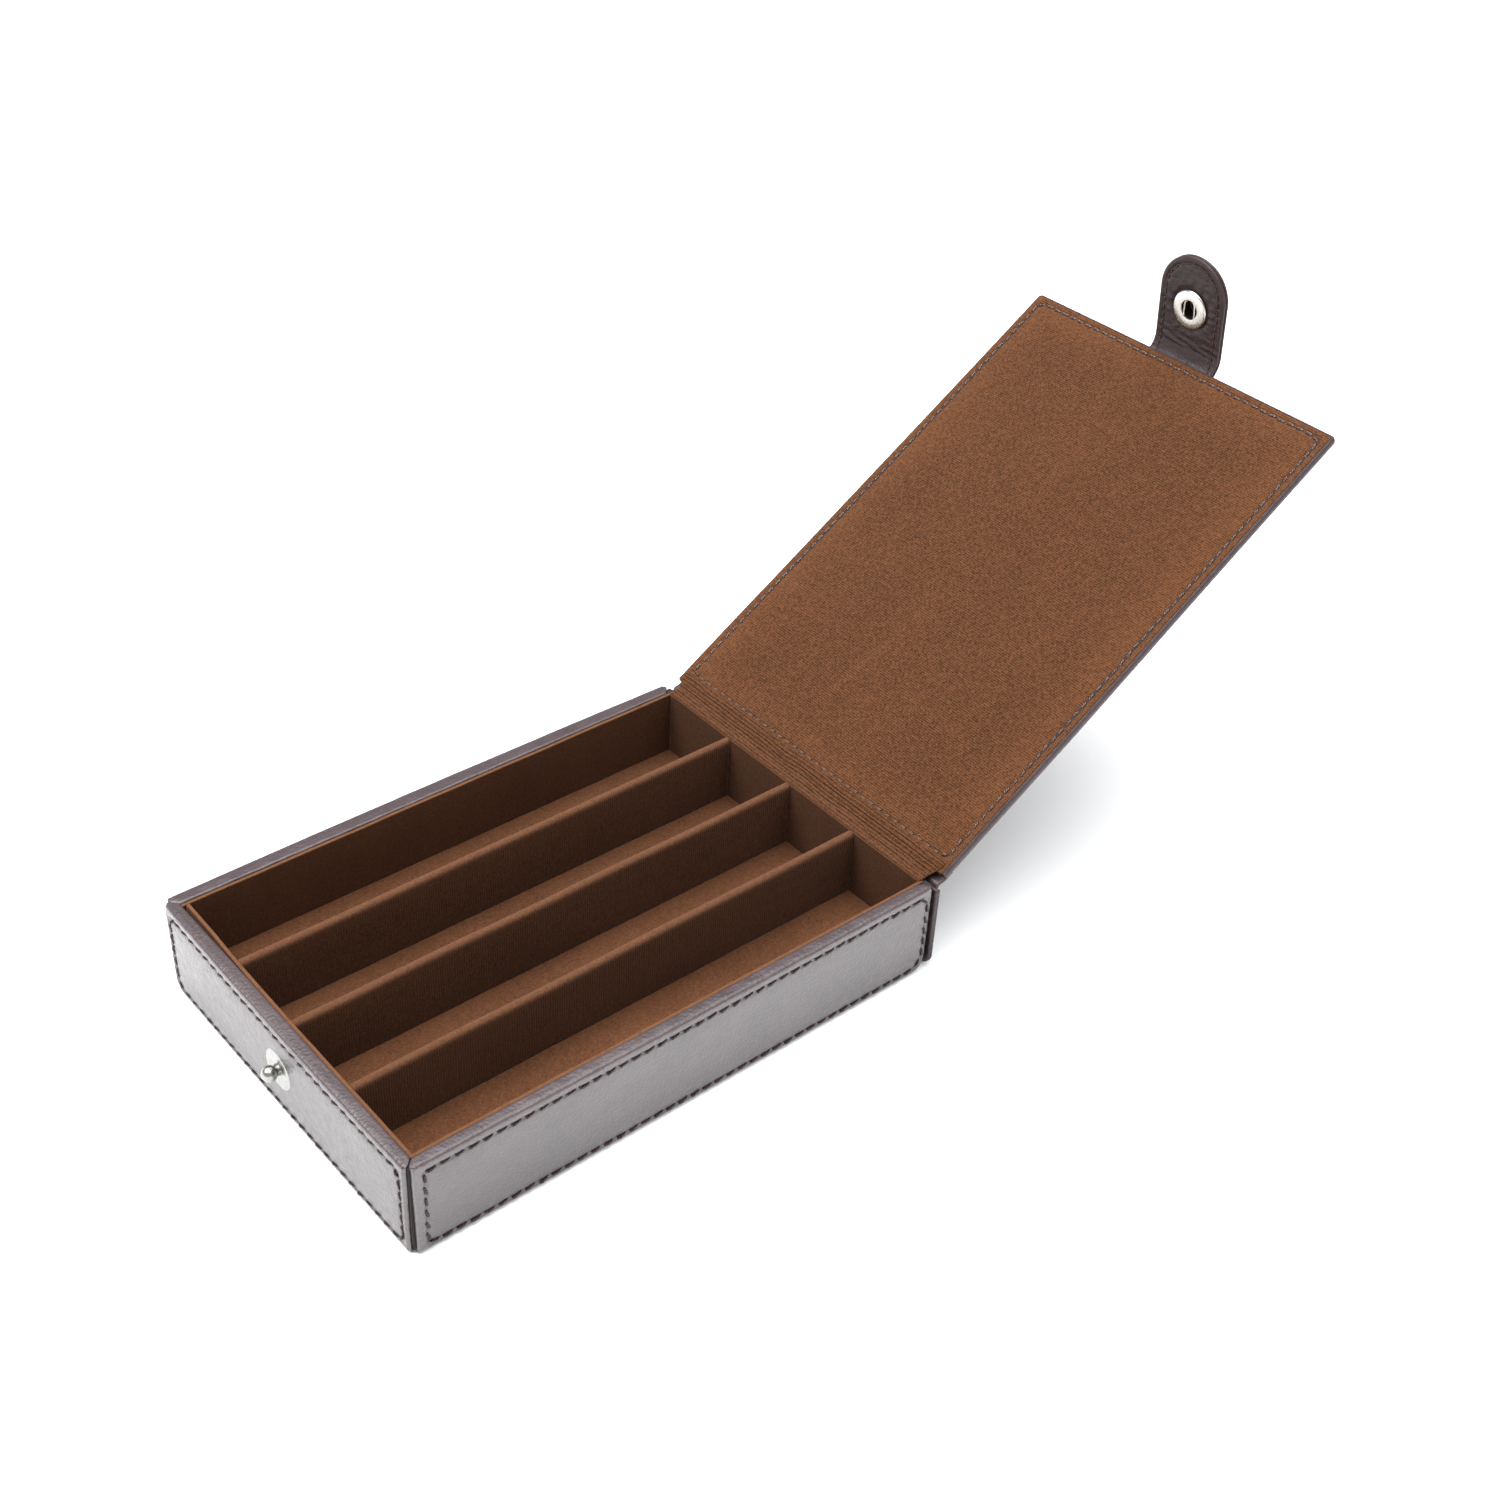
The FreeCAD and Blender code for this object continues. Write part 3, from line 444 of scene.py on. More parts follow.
# ---------------------------------------------------------------- materials
class Shader:
    """A Principled material under construction, with short ways to add nodes."""

    def __init__(self, name):
        self.material = bpy.data.materials.new(name)
        self.material.use_nodes = True
        self.tree = self.material.node_tree

    def node(self, kind, links=None, **settings):
        item = self.tree.nodes.new(kind)
        for key, value in settings.items():
            setattr(item, key, value)
        for socket, value in (links or {}).items():
            self.feed(item.inputs[socket], value)
        return item

    def feed(self, socket, value):
        if isinstance(value, bpy.types.NodeSocket):
            self.tree.links.new(value, socket)
        else:
            socket.default_value = value

    def place(self):
        return self.node("ShaderNodeAttribute", attribute_name="place").outputs["Vector"]

    def in_object(self):
        return self.node("ShaderNodeTexCoord").outputs["Object"]

    def mask(self, name):
        return self.node("ShaderNodeAttribute", attribute_name=name).outputs["Fac"]

    def moved(self, vector, scale, spin):
        """A place turned about Z, then stretched."""
        links = {"Vector": vector, "Scale": scale, "Rotation": (0, 0, spin)}
        return self.node("ShaderNodeMapping", links).outputs["Vector"]

    def noise(self, vector, scale, detail=3.0, rough=0.5):
        links = {"Vector": vector, "Scale": scale, "Detail": detail, "Roughness": rough}
        return self.node("ShaderNodeTexNoise", links).outputs["Fac"]

    def cells(self, vector, scale):
        return self.node("ShaderNodeTexVoronoi", {"Vector": vector, "Scale": scale}).outputs["Distance"]

    def maths(self, operation, first, second=0.0):
        return self.node("ShaderNodeMath", {0: first, 1: second}, operation=operation).outputs[0]

    def add(self, first, second):
        return self.maths("ADD", first, second)

    def times(self, first, second):
        return self.maths("MULTIPLY", first, second)

    def spread(self, value, low, high, to_low=0.0, to_high=1.0):
        links = {"Value": value, "From Min": low, "From Max": high, "To Min": to_low, "To Max": to_high}
        return self.node("ShaderNodeMapRange", links).outputs["Result"]

    def mix(self, share, first, second):
        """A colour between two, each a socket or red, green and blue."""
        item = self.node("ShaderNodeMix", {"Factor": share}, data_type="RGBA")
        for index, colour in ((6, first), (7, second)):
            self.feed(item.inputs[index], colour if isinstance(colour, bpy.types.NodeSocket) else (*colour, 1))
        return item.outputs[2]

    def bump(self, height, distance, strength=1.0, under=None):
        links = {"Height": height, "Distance": distance * MM, "Strength": strength}
        if under is not None:
            links["Normal"] = under
        return self.node("ShaderNodeBump", links).outputs["Normal"]

    def finish(self, settings):
        """Link or set the surface's named sockets, and give the material."""
        for socket, value in settings.items():
            self.feed(self.tree.nodes["Principled BSDF"].inputs[socket], value)
        return self.material


def leather(name, base, lift, roughness, coat, grain, crease, shine):
    """Dark, finely pebbled, semi-gloss hide. base and lift are its dark and worn colours."""
    paint = Shader(name)
    at = paint.place()
    flecks = paint.noise(at, 1.7, 3, 0.6)
    folds = paint.noise(paint.moved(at, (0.16, 0.75, 0.4), math.radians(35)), 1.0, 4, 0.6)
    shade = paint.add(paint.times(paint.noise(at, 0.06, 4), 0.7), paint.times(flecks, 0.5))
    colour = paint.mix(paint.spread(shade, 0.4, 0.85), base, lift)
    worn_colour = [part * 1.7 + 0.005 for part in lift]
    colour = paint.mix(paint.times(paint.mask("wear"), 0.55), colour, worn_colour)
    gloss = paint.spread(paint.noise(at, 0.5, 4, 0.6), 0.3, 0.7, roughness - 0.05, roughness + 0.09)
    normal = paint.bump(folds, 0.5 * crease)
    normal = paint.bump(paint.cells(at, 1.15), 0.09 * grain, 0.8, normal)
    normal = paint.bump(paint.cells(at, 2.9), 0.035 * grain, 0.8, normal)
    return paint.finish({
        "Base Color": colour, "Roughness": gloss, "Normal": normal, "Specular IOR Level": shine,
        "Coat Weight": coat, "Coat Roughness": 0.26, "Coat IOR": 1.6, "Coat Normal": normal})


def suede(name, dark, light, cut=None, rib=0.0, rib_pitch=RIB_PITCH, fleck=1.0, grit=2.7, cloud=0.14):
    """Short nap with a speckle and brushed patches.

    cut is the colour of a raw edge, rib the strength of the ribs along X, fleck and grit the
    speckle's strength and fineness, and cloud the strength of the patches.
    """
    paint = Shader(name)
    at = paint.place()
    brushed = paint.noise(paint.moved(at, (0.6, 0.25, 0.5), 0.4), 0.09, 5, 0.62)
    speckle = paint.noise(at, grit, 2, 0.6)
    nap = paint.noise(at, 1.1, 3, 0.6)
    mixed = paint.add(paint.spread(brushed, 0.3, 0.7, -cloud, cloud),
                      paint.spread(speckle, 0.36, 0.64, -0.3 * fleck, 0.3 * fleck))
    mixed = paint.add(mixed, paint.spread(nap, 0.3, 0.7, -0.16, 0.16))
    # The attribute added here is the cloth's own tone together with painted light: lighter bands at the lid
    # lining's edges and darker pleat valleys in the hinge.
    mixed = paint.add(paint.add(mixed, 0.5), paint.times(paint.mask("tone"), 0.26))
    normal = paint.bump(nap, 0.25, 0.7)
    normal = paint.bump(speckle, 0.12, 0.8, normal)
    edge = paint.mask("cut")
    if rib > 0:
        # At a scale of 1 a wave texture has 3.183 bands to the unit.
        links = {"Vector": at, "Scale": 1 / rib_pitch / 3.183, "Distortion": 0.12, "Detail": 2.0}
        ribs = paint.node("ShaderNodeTexWave", links, bands_direction="Y").outputs["Fac"]
        swing = paint.spread(ribs, 0.0, 1.0, -0.16 * rib, 0.16 * rib)
        if cut is not None:
            swing = paint.times(swing, paint.spread(edge, 0.0, 0.8, 0.2, 2.0))
        mixed = paint.add(mixed, swing)
        normal = paint.bump(ribs, 0.12 * rib, 0.9, normal)
    colour = paint.mix(paint.spread(mixed, 0.0, 1.0), dark, light)
    lint = paint.maths("GREATER_THAN", paint.noise(at, 1.45, 2, 0.9), 0.735)
    colour = paint.mix(paint.times(lint, 0.25), colour, (0.2, 0.13, 0.085))
    if cut is not None:
        ragged = paint.times(edge, paint.spread(paint.noise(at, 0.9, 4), 0.25, 0.6, 0.55, 1.0))
        colour = paint.mix(ragged, colour, cut)
    return paint.finish({
        "Base Color": colour, "Roughness": 0.92, "Normal": normal, "Specular IOR Level": 0.12,
        "Sheen Weight": 0.12, "Sheen Roughness": 0.45, "Sheen Tint": (0.9, 0.62, 0.45, 1)})


def waxed_thread(name, dark, light, gloss=0.45, shine=0.35):
    """Waxed two-ply thread: twist lines run round each stitch."""
    paint = Shader(name)
    at = paint.place()
    along, around, _ = paint.node("ShaderNodeSeparateXYZ", {"Vector": at}).outputs
    twist = paint.add(paint.times(along, 1.1), paint.times(around, 2.0))
    ply = paint.maths("SINE", paint.times(twist, math.tau))
    fuzz = paint.noise(at, 2.2, 3, 0.7)
    share = paint.add(paint.times(ply, 0.3), fuzz)
    return paint.finish({
        "Base Color": paint.mix(paint.spread(share, 0.2, 0.9), dark, light), "Specular IOR Level": shine,
        "Roughness": paint.spread(fuzz, 0.3, 0.7, gloss - 0.1, gloss + 0.1), "Normal": paint.bump(ply, 0.09)})


def metal(name, colour, roughness):
    """Plated nickel with faint turning lines and small marks."""
    paint = Shader(name)
    at = paint.place()
    marks = paint.noise(paint.moved(at, (1.0, 6.0, 1.0), 0.6), 1.6, 5, 0.7)
    dull = [part * 0.82 for part in colour]
    return paint.finish({
        "Base Color": paint.mix(paint.spread(paint.noise(at, 0.7, 3), 0.35, 0.7), colour, dull),
        "Metallic": 1.0,
        "Roughness": paint.spread(marks, 0.3, 0.75, roughness, roughness + 0.16),
        "Normal": paint.bump(marks, 0.02, 0.6)})


def fibre(name, dark, light, scale, depth):
    """Pressed board or foam, which shows only if the case is taken apart."""
    paint = Shader(name)
    at = paint.in_object()
    grit = paint.noise(at, scale, 5, 0.65)
    share = paint.add(paint.times(grit, 0.7), paint.times(paint.cells(at, scale * 1.7), 0.4))
    return paint.finish({
        "Base Color": paint.mix(paint.spread(share, 0.3, 0.8), dark, light), "Roughness": 0.9,
        "Normal": paint.bump(grit, depth)})


CASE_HIDE = leather("case_hide", (0.021, 0.0125, 0.0135), (0.046, 0.030, 0.030),
                    roughness=0.34, coat=0.36, grain=1.4, crease=0.16, shine=0.9)
RIM_HIDE = leather("rim_hide", (0.024, 0.0125, 0.0145), (0.048, 0.030, 0.033),
                   roughness=0.36, coat=0.16, grain=1.0, crease=0.1, shine=0.5)
LID_COVER = leather("lid_cover", (0.021, 0.0115, 0.013), (0.044, 0.027, 0.029),
                    roughness=0.4, coat=0.1, grain=1.0, crease=0.1, shine=0.3)
# Painted shade: the tab's hide is a darker, duller copy of the case hide, as the tab mirrors the dark lining.
TAB_HIDE = leather("tab_hide", (0.0150, 0.0078, 0.0080), (0.032, 0.0185, 0.0188),
                   roughness=0.38, coat=0.05, grain=0.8, crease=0.4, shine=0.2)
SUEDE_DARK, SUEDE_LIGHT = (0.028, 0.0092, 0.0032), (0.080, 0.030, 0.0125)
WALL_SUEDE = suede("wall_suede", SUEDE_DARK, SUEDE_LIGHT, cut=(0.115, 0.050, 0.023))
DIVIDER_SUEDE = suede("divider_suede", SUEDE_DARK, SUEDE_LIGHT, cut=(0.110, 0.047, 0.0235),
                      rib=0.9, rib_pitch=0.7)
PAD_SUEDE = suede("pad_suede", (0.046, 0.0165, 0.0065), (0.118, 0.048, 0.0215))
LID_CLOTH = suede("lid_cloth", (0.032, 0.0112, 0.0036), (0.114, 0.044, 0.0172),
                  rib=1.2, fleck=1.05, grit=2.2, cloud=0.06)
THREAD = waxed_thread("dark_thread", (0.013, 0.005, 0.0046), (0.050, 0.020, 0.018))
# The lid thread's pale flecks are partly the thread's own twist and fibres and partly painted glints.
LID_THREAD = waxed_thread("glossy_thread_painted_glints", (0.020, 0.010, 0.0095), (0.095, 0.055, 0.048), 0.24, 0.6)
TAB_THREAD = waxed_thread("rust_thread", (0.018, 0.006, 0.0035), (0.075, 0.028, 0.015))
NICKEL = metal("nickel_plate", (0.52, 0.505, 0.465), 0.17)
# Painted shade: a darker copy of the plated nickel for the stud, which tones down its reflection of the white
# floor.
STUD_NICKEL = metal("stud_nickel_shaded", (0.355, 0.35, 0.33), 0.2)
# Painted shade: dark metal that stands in for the shadow inside the snap's bore and the cap's hollow.
SNAP_BORE_SHADE = metal("snap_bore_painted_shade", (0.10, 0.085, 0.065), 0.42)
SPRING = metal("spring_steel", (0.66, 0.64, 0.59), 0.2)
# Painted shade: the board is near black so that where it shows in the open corner seams it reads as their
# shadow.
BOARD = fibre("board_as_seam_shade", (0.008, 0.0052, 0.005), (0.019, 0.012, 0.011), 900, 0.05)
FOAM = fibre("pad_foam", (0.28, 0.22, 0.15), (0.42, 0.35, 0.26), 1500, 0.1)


def finish_piece(piece, body, material, slot, *nodes):
    """Give a piece its material, let it ride, and hide the nodes it stands for. slot is not used.

    A piece with no body is not attached to one: its caller bakes its place into it.
    """
    piece.data.materials.clear()
    piece.data.materials.append(material)
    if body is not None:
        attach(piece, body)
    if nodes:
        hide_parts(*nodes)


def repaint(piece, material, chosen):
    """A second material on the faces whose centre is chosen."""
    piece.data.materials.append(material)
    for polygon in piece.data.polygons:
        if chosen(polygon.center):
            polygon.material_index = 1


# ---------------------------------------------------------------- outer walls
class Wall:
    """A hide-covered wall.

    seam holds the ends of its seam and corners the radii of its lower corners. bow is how far
    its middle stands out, and ends the share of that lost at its ends. near is the end, -1 or
    1, that meets the near corner.
    """

    def __init__(self, name, matrix, half, seam, corners, bow, ends, seed, near=0):
        self.name, self.matrix, self.half, self.corners = name, matrix, half, corners
        self.bow, self.ends, self.seed, self.near = bow, ends, seed, near
        self.low, self.high = (seam[0], WALL_SEAM_FOOT), (seam[1], WALL_SEAM_TOP)
        self.seam_radii = [max(size - 1.5, 0.8) for size in corners] + [0.9, 0.9]
        self.route = loop_route(self.low, self.high, self.seam_radii)

    def swell(self, x, z):
        """How far the outer face stands out from its flat place."""
        distance, signed = loop_distance(x, z, self.low, self.high, self.seam_radii)
        groove = -0.26 * fall(distance, 0.48) - 0.24 * pinch(x, z, self.route, STITCH)
        welt = 0.12 * fall(signed - 1.5, 1.2)
        bulge = self.bow * (1 - self.ends * (x / self.half) ** 2) * (0.2 + 0.8 * smooth(z, 0, 15))
        panel = 0.18 * smooth(-signed, 0.2, 4.0)
        wrinkles = 0.045 * ripple(x, z, self.seed, 13.0) + 0.015 * ripple(x, z, self.seed + 1, 4.2, 9)
        return groove + welt + bulge + panel + wrinkles * smooth(np.abs(signed), 0.0, 1.5)

    def wrap(self, flat):
        """Flat (along, up, height) to the wall's frame."""
        x, z, height = parts(flat)
        return join(x, -self.swell(x, z) - height, z)


WALLS = [
    Wall("front", FRONT, HALF_X, (-HALF_X + 2.6, HALF_X - 3.6), (4.6, 1.6), 0.7, 0.85, 3, near=1),
    Wall("right", RIGHT, SIDE_HALF, (-SIDE_HALF + 4.4, SIDE_HALF - 2.2), (1.6, 5.0), 0.45, 0.7, 11, near=-1),
    Wall("left", LEFT, SIDE_HALF, (-SIDE_HALF + 2.2, SIDE_HALF - 2.6), (5.0, 4.6), 1.6, 0.4, 19),
]


def round_ends(depth, x, end, radius):
    """Round a mitred panel's sharp upright tips in plan."""
    slope = math.sqrt(0.5)
    core_across = end - radius - radius / slope
    gap_across, gap_depth = np.abs(x) - core_across, depth - radius
    # How deep the point is in the skin of this radius round the inset corner.
    skin = np.maximum(np.maximum(-gap_depth, (gap_across + gap_depth) * slope), 0)
    near = (np.abs(gap_depth) < gap_across) & (skin > 0)
    length = np.maximum(np.hypot(gap_across, gap_depth), 1e-9)
    ratio = np.where(near, np.minimum(skin / length, 1.0), 1.0)
    return radius + gap_depth * ratio, np.sign(x) * (core_across + gap_across * ratio)


def wall_hide(wall):
    """The hide on a wall: up the face, over the top and down to the lining, mitred at its ends."""
    end = wall.half - SEAM_GAP
    insets = (0.06, 0.15, 0.3, 0.5, 0.75, 1.05, 1.4, 1.9)
    extra = [side * (1 - inset / end) for side in (-1, 1) for inset in insets]
    extra += [line / end for line in about((wall.low[0], wall.high[0]), 0.8)]
    rise = steps(0, HEIGHT, WALL_GRID, about((WALL_SEAM_FOOT, WALL_SEAM_TOP), 0.8) + edges(0, HEIGHT, 1.0))
    # v runs up the face from 0 to 1 and over the top from 1 to 2, and w from the outside in.
    strip = np.concatenate([rise / HEIGHT, np.linspace(1, 2, 9)[1:]])
    t, v, w = parts(grid(steps(-1, 1, WALL_GRID / end, extra), strip, [0.0, 0.3, 0.6, HIDE]))
    on_face = v <= 1
    depth = np.where(on_face, w, w + (v - 1) * (RIM - w))
    level = np.where(on_face, v * (HEIGHT - w), HEIGHT - w)
    x = t * (end - depth)
    # Round the fold and the foot, then the upright ends, then the lower corners seen from outside.
    depth, level = box_round(depth, level, (0, 0), (RIM, HEIGHT), [1.5, 0, 0.5, 1.05])
    depth, x = round_ends(depth, x, end, 0.75)
    x, level = box_round(x, level, (-end, 0), (end, HEIGHT), [*wall.corners, 0, 0])

    outer = 1 - w / HIDE
    foot_to_top = smooth(level, 0.0, 1.2) * np.where(on_face, 1.0, np.clip(1 - (v - 1) * 1.6, 0, 1))
    tips = smooth(end - np.abs(x) - depth, 0.0, 1.0)
    stand = wall.swell(x, level) * outer * foot_to_top * tips
    # The inside follows the bow, so that the hide keeps its thickness.
    follow = np.where(on_face, smooth(level, 0.0, 3.0), np.clip(2 - v, 0, 1))
    depth = depth - stand - (1 - outer) * wall.bow * 0.8 * (1 - (x / wall.half) ** 2) * follow
    to_mitre = end - depth - np.abs(x)
    top = smooth(v, 1.05, 1.3) * outer
    level = level + top * (0.05 * ripple(x, depth, wall.seed + 3, 7.0) - 0.04 - 0.16 * fall(to_mitre, 0.55))
    if wall.near:
        # The near corner's seam opens towards the foot.
        opening = 0.1 + 0.3 * np.clip(1 - level / HEIGHT, 0, 1)
        x = x - wall.near * opening * fall(np.clip(end - wall.near * x, 0, None), 5.0)
    if wall.near > 0:
        x = x - 0.45 * fall(np.clip(end + x, 0, None), 5.0)

    place = join(x, np.where(on_face, level, HEIGHT + depth), w) + wall.seed * 31.7
    wear = 0.6 * fall(v - 1.0, 0.035) + 0.5 * fall(end - depth - np.abs(x), 1.2) + 0.35 * fall(level, 0.8)
    piece = lattice(f"{wall.name}_hide", join(x, depth, level), place, wall.matrix, wear=wear * outer)
    finish_piece(piece, "tray", CASE_HIDE, "case_leather", f"{wall.name}_leather")
    repaint(piece, RIM_HIDE, lambda centre: centre.z > (HEIGHT - 0.6) * MM)
    seam = stitching(f"{wall.name}_seam", wall.route, wall.wrap, wall.matrix)
    finish_piece(seam, "tray", THREAD, "thread", f"{wall.name}_stitching")


def back_cover():
    """The double cover on the back, rounded at its lower corners, a fold line round its edge."""
    half, stand = BACK_HALF + 1.2, 0.45
    low, high = (-half, 0.0, 0.0), (half, BACK_TOP, HALF_Y - BACK_INNER)
    seam_low, seam_high, radii = (6 - half, WALL_SEAM_FOOT), (half - 6, BACK_TOP - 3), [3, 3, 0.9, 0.9]
    x = steps(-half, half, 0.9, edges(-half, half, 0.9) + about((seam_low[0], seam_high[0]), 0.8))
    y = steps(0.0, BACK_TOP, 0.8, edges(0.0, BACK_TOP, 0.9) + about((WALL_SEAM_FOOT, BACK_TOP - 3), 0.8))
    z = np.array([0, 0.1, 0.3, 0.6, 0.8, 0.9, 1.0, 1.2, 1.5, 1.7, 1.8]) * high[2] / 1.8
    flat = grid(x, y, z)
    points, inset = rounded_slab(flat, low, high, [3.6, 3.6, 0.7, 0.7], 0.85)
    x, y, z = parts(points)
    distance, signed = loop_distance(x, y, seam_low, seam_high, radii)
    outside = 1 - flat[..., 2] / high[2]
    swell = -0.24 * fall(distance, 0.55) + 0.1 * smooth(-signed, 0.2, 4) + 0.04 * ripple(x, y, 27, 8.0)
    swell = swell * smooth(inset, 0.2, 1.4) * outside
    ply = 0.28 * fall(flat[..., 2] - high[2] / 2, 0.16) * fall(inset, 0.5)
    # Slab frame to wall frame: its thickness runs inwards from the outer face.
    turned = join(x - np.sign(x) * ply, z - swell - stand, y)
    piece = lattice("back_cover", turned, flat + 57.0, BACK, wear=outside * fall(inset, 0.7) * 0.6)
    finish_piece(piece, "tray", LID_COVER, "case_leather", "back_leather")
    seam = stitching("back_seam", loop_route(seam_low, seam_high, radii),
                     lambda spots: join(spots[:, 0], 0.1 - stand - spots[:, 2], spots[:, 1]), BACK)
    finish_piece(seam, "tray", THREAD, "thread", "back_stitching")


def base_sheets():
    """The hide under the case, and the board it covers, with the case's rounded corners."""
    for name, node, material, slot, edge in (
        ("base_hide", "base_leather", CASE_HIDE, "case_leather", 0.35),
        ("base_panel", "base_board", BOARD, "board", 0.1),
    ):
        low, high = cad_box(node)
        x, y = (steps(low[axis], high[axis], 1.2, edges(low[axis], high[axis], 0.5)) for axis in (0, 1))
        flat = grid(x, y, steps(low[2], high[2], 0.3))
        points, inset = rounded_slab(flat, low, high, [5, 1.5, 5, 5], edge)
        if name == "base_hide":
            under = 1 - (flat[..., 2] - low[2]) / (high[2] - low[2])
            hollow = 0.07 + 0.05 * ripple(points[..., 0], points[..., 1], 31, 14.0)
            points[..., 2] += under * hollow * smooth(inset, 0.5, 3.0)
        piece = lattice(name, points, flat + 83.0, TRAY, wear=0.3 * fall(inset, 1.0))
        finish_piece(piece, "tray", material, slot, node)


# ---------------------------------------------------------------- inside of the tray
def linings():
    """Suede-covered card on each wall, its cut edge showing along the top.

    The front one's left end peels away from the wall at the top.
    """
    for name, matrix, half, centre in (
        ("front_lining", FRONT, LINING_FACE_X, 0.0),
        ("back_lining", BACK, LINING_FACE_X, 0.0),
        ("right_lining", RIGHT, LINING_FACE_Y + LINING, -SIDE_MIDDLE),
        ("left_lining", LEFT, LINING_FACE_Y + LINING, SIDE_MIDDLE),
    ):
        low, high = (-half, LINING_FOOT, 0.0), (half, LINING_TOP, LINING)
        flat = grid(steps(-half, half, 1.1), steps(low[1], high[1], 0.9, edges(low[1], high[1], 0.5)),
                    [0, 0.12, 0.3, 0.45, 0.6, 0.78, LINING])
        x, up, deep = parts(rounded_slab(flat, low, high, 0.12, 0.14)[0])
        top = smooth(up, LINING_TOP - 9, LINING_TOP)
        inward = deep + RIM + 0.02 + np.clip(0.07 * ripple(x, up, len(name), 16.0) * top, 0, 1)
        if name == "front_lining":
            inward = inward + fall(x + half, 26.0) * top ** 2
        droop = 0.10 * ripple(x, x * 0, len(name) + 5, 30.0) * smooth(up, LINING_TOP - 2, LINING_TOP)
        shaped = join(x + centre, inward, up + np.minimum(droop, 0))
        cut = smooth(flat[..., 1], LINING_TOP - 0.3, LINING_TOP - 0.12)
        piece = lattice(name + "_suede", shaped, flat + 11.3 * len(name), matrix, cut=cut)
        finish_piece(piece, "tray", WALL_SUEDE, "tray_suede", name)


def dividers():
    """A suede cover folded over each board, its fold ribbed and paler."""
    cover = 0.5
    for number in (1, 2, 3):
        node = f"divider_suede_{number}"
        low, high = cad_box(node)
        middle, half = (low[0] + high[0]) / 2, (high[0] - low[0]) / 2
        x = np.array([low[0], low[0] + 0.25, low[0] + cover, middle - 0.35, middle, middle + 0.35,
                      high[0] - cover, high[0] - 0.25, high[0]])
        z = steps(low[2], high[2], 1.0, [high[2] - part for part in (0.1, 0.25, cover, 0.75, 1.1, 1.5)])
        flat = grid(x, steps(low[1], high[1], 0.9), z)
        keep = np.ones([size - 1 for size in flat.shape[:3]], bool)
        board = (x[:-1] >= low[0] + cover - TOUCH) & (x[1:] <= high[0] - cover + TOUCH)
        keep &= ~(board[:, None, None] & (z[1:] <= high[2] - cover + TOUCH)[None, None, :])
        x, y, z = parts(flat)
        round_x, round_z = box_round(x, z, (low[0], low[2]), (high[0], high[2]), [0, 0, 1.15, 1.15])
        crown = (z > high[2] - cover + TOUCH) | (np.abs(x - middle) > half - cover + TOUCH)
        sway = 0.16 * ripple(y, z * 0.4, 40 + number, 60.0, 4) * smooth(z, 8, 28)
        fold = smooth(z, high[2] - 2.2, high[2] - 0.6)
        ribs = 0.035 * np.sin(math.tau * y / RIB_PITCH) * fold * crown
        points = join(np.where(crown, round_x, x) + sway, y, np.where(crown, round_z, z) + ribs)
        piece = lattice(f"divider_{number}_cover", points, join(z, y, x) + 19.1 * number, TRAY, keep,
                        cut=0.8 * fold)
        finish_piece(piece, "tray", DIVIDER_SUEDE, "tray_suede", node)


def floor_pads():
    """Suede-covered foam strips, a little crowned, their edges pressed down."""
    for number in (1, 2, 3, 4):
        node = f"floor_suede_{number}"
        low, high = cad_box(node)
        flat = grid(*(steps(low[axis], high[axis], spacing, edges(low[axis], high[axis], edge))
                      for axis, (spacing, edge) in enumerate(((0.9, 1.0), (1.2, 1.0), (0.9, 0.8)))))
        points, inset = rounded_slab(flat, low, high, 0.5, 0.75)
        upper = (flat[..., 2] - low[2]) / (high[2] - low[2])
        uneven = 0.07 * ripple(points[..., 0], points[..., 1], 60 + number, 18.0)
        points[..., 2] += upper * (0.35 * smooth(inset, 0.3, 5.0) - 0.25 + uneven)
        piece = lattice(f"floor_{number}_pad", points, flat + 23.7 * number, TRAY)
        finish_piece(piece, "tray", PAD_SUEDE, "tray_suede", node)


# ---------------------------------------------------------------- lid
LID_LOW, LID_HIGH = (-LID_HALF + LID_SEAM, LID_NEAR + 3.9), (LID_HALF - LID_SEAM, LID_FAR - LID_SEAM)
LID_RADII = [1.0] * 4
LID_ROUTE = loop_route(LID_LOW, LID_HIGH, LID_RADII)


def lid_shape(points):
    """Give flat lid points the lid's slight dish, and its extra width towards the hinge."""
    x, y, z = parts(points)
    dish = -0.35 * (x / LID_HALF) ** 2 * smooth(y, 10, 60) + 0.1 * smooth(y, 20, 160) * (y / LID_FAR)
    return join(x * (1.014 - 0.009 * smooth(y, 20, 150)), y, z + dish)


def lid_relief(x, y):
    """Height of the lining's face over flat."""
    distance, signed = loop_distance(x, y, LID_LOW, LID_HIGH, LID_RADII)
    height = -0.24 * fall(distance, 0.55) - 0.22 * pinch(x, y, LID_ROUTE, LID_STITCH)
    height = height + 0.12 * smooth(-signed, 0.3, 4) + 0.1 * fall(signed - 1.5, 1.2)
    brushed = 0.05 * fall(x + 9 - 0.18 * (y - 30), 2.2) * smooth(y, 15, 30) * (1 - smooth(y, 45, 70))
    return height + 0.035 * ripple(x, y, 71, 22.0) + brushed


def lid_lines(axis, low, high, spacing, edge, reach, extra=()):
    """Grid lines across the lid, closer at its edges and its seam."""
    seams = about((LID_LOW[axis], LID_HIGH[axis]), reach)
    return steps(low[axis], high[axis], spacing, edges(low[axis], high[axis], edge) + list(extra) + seams)


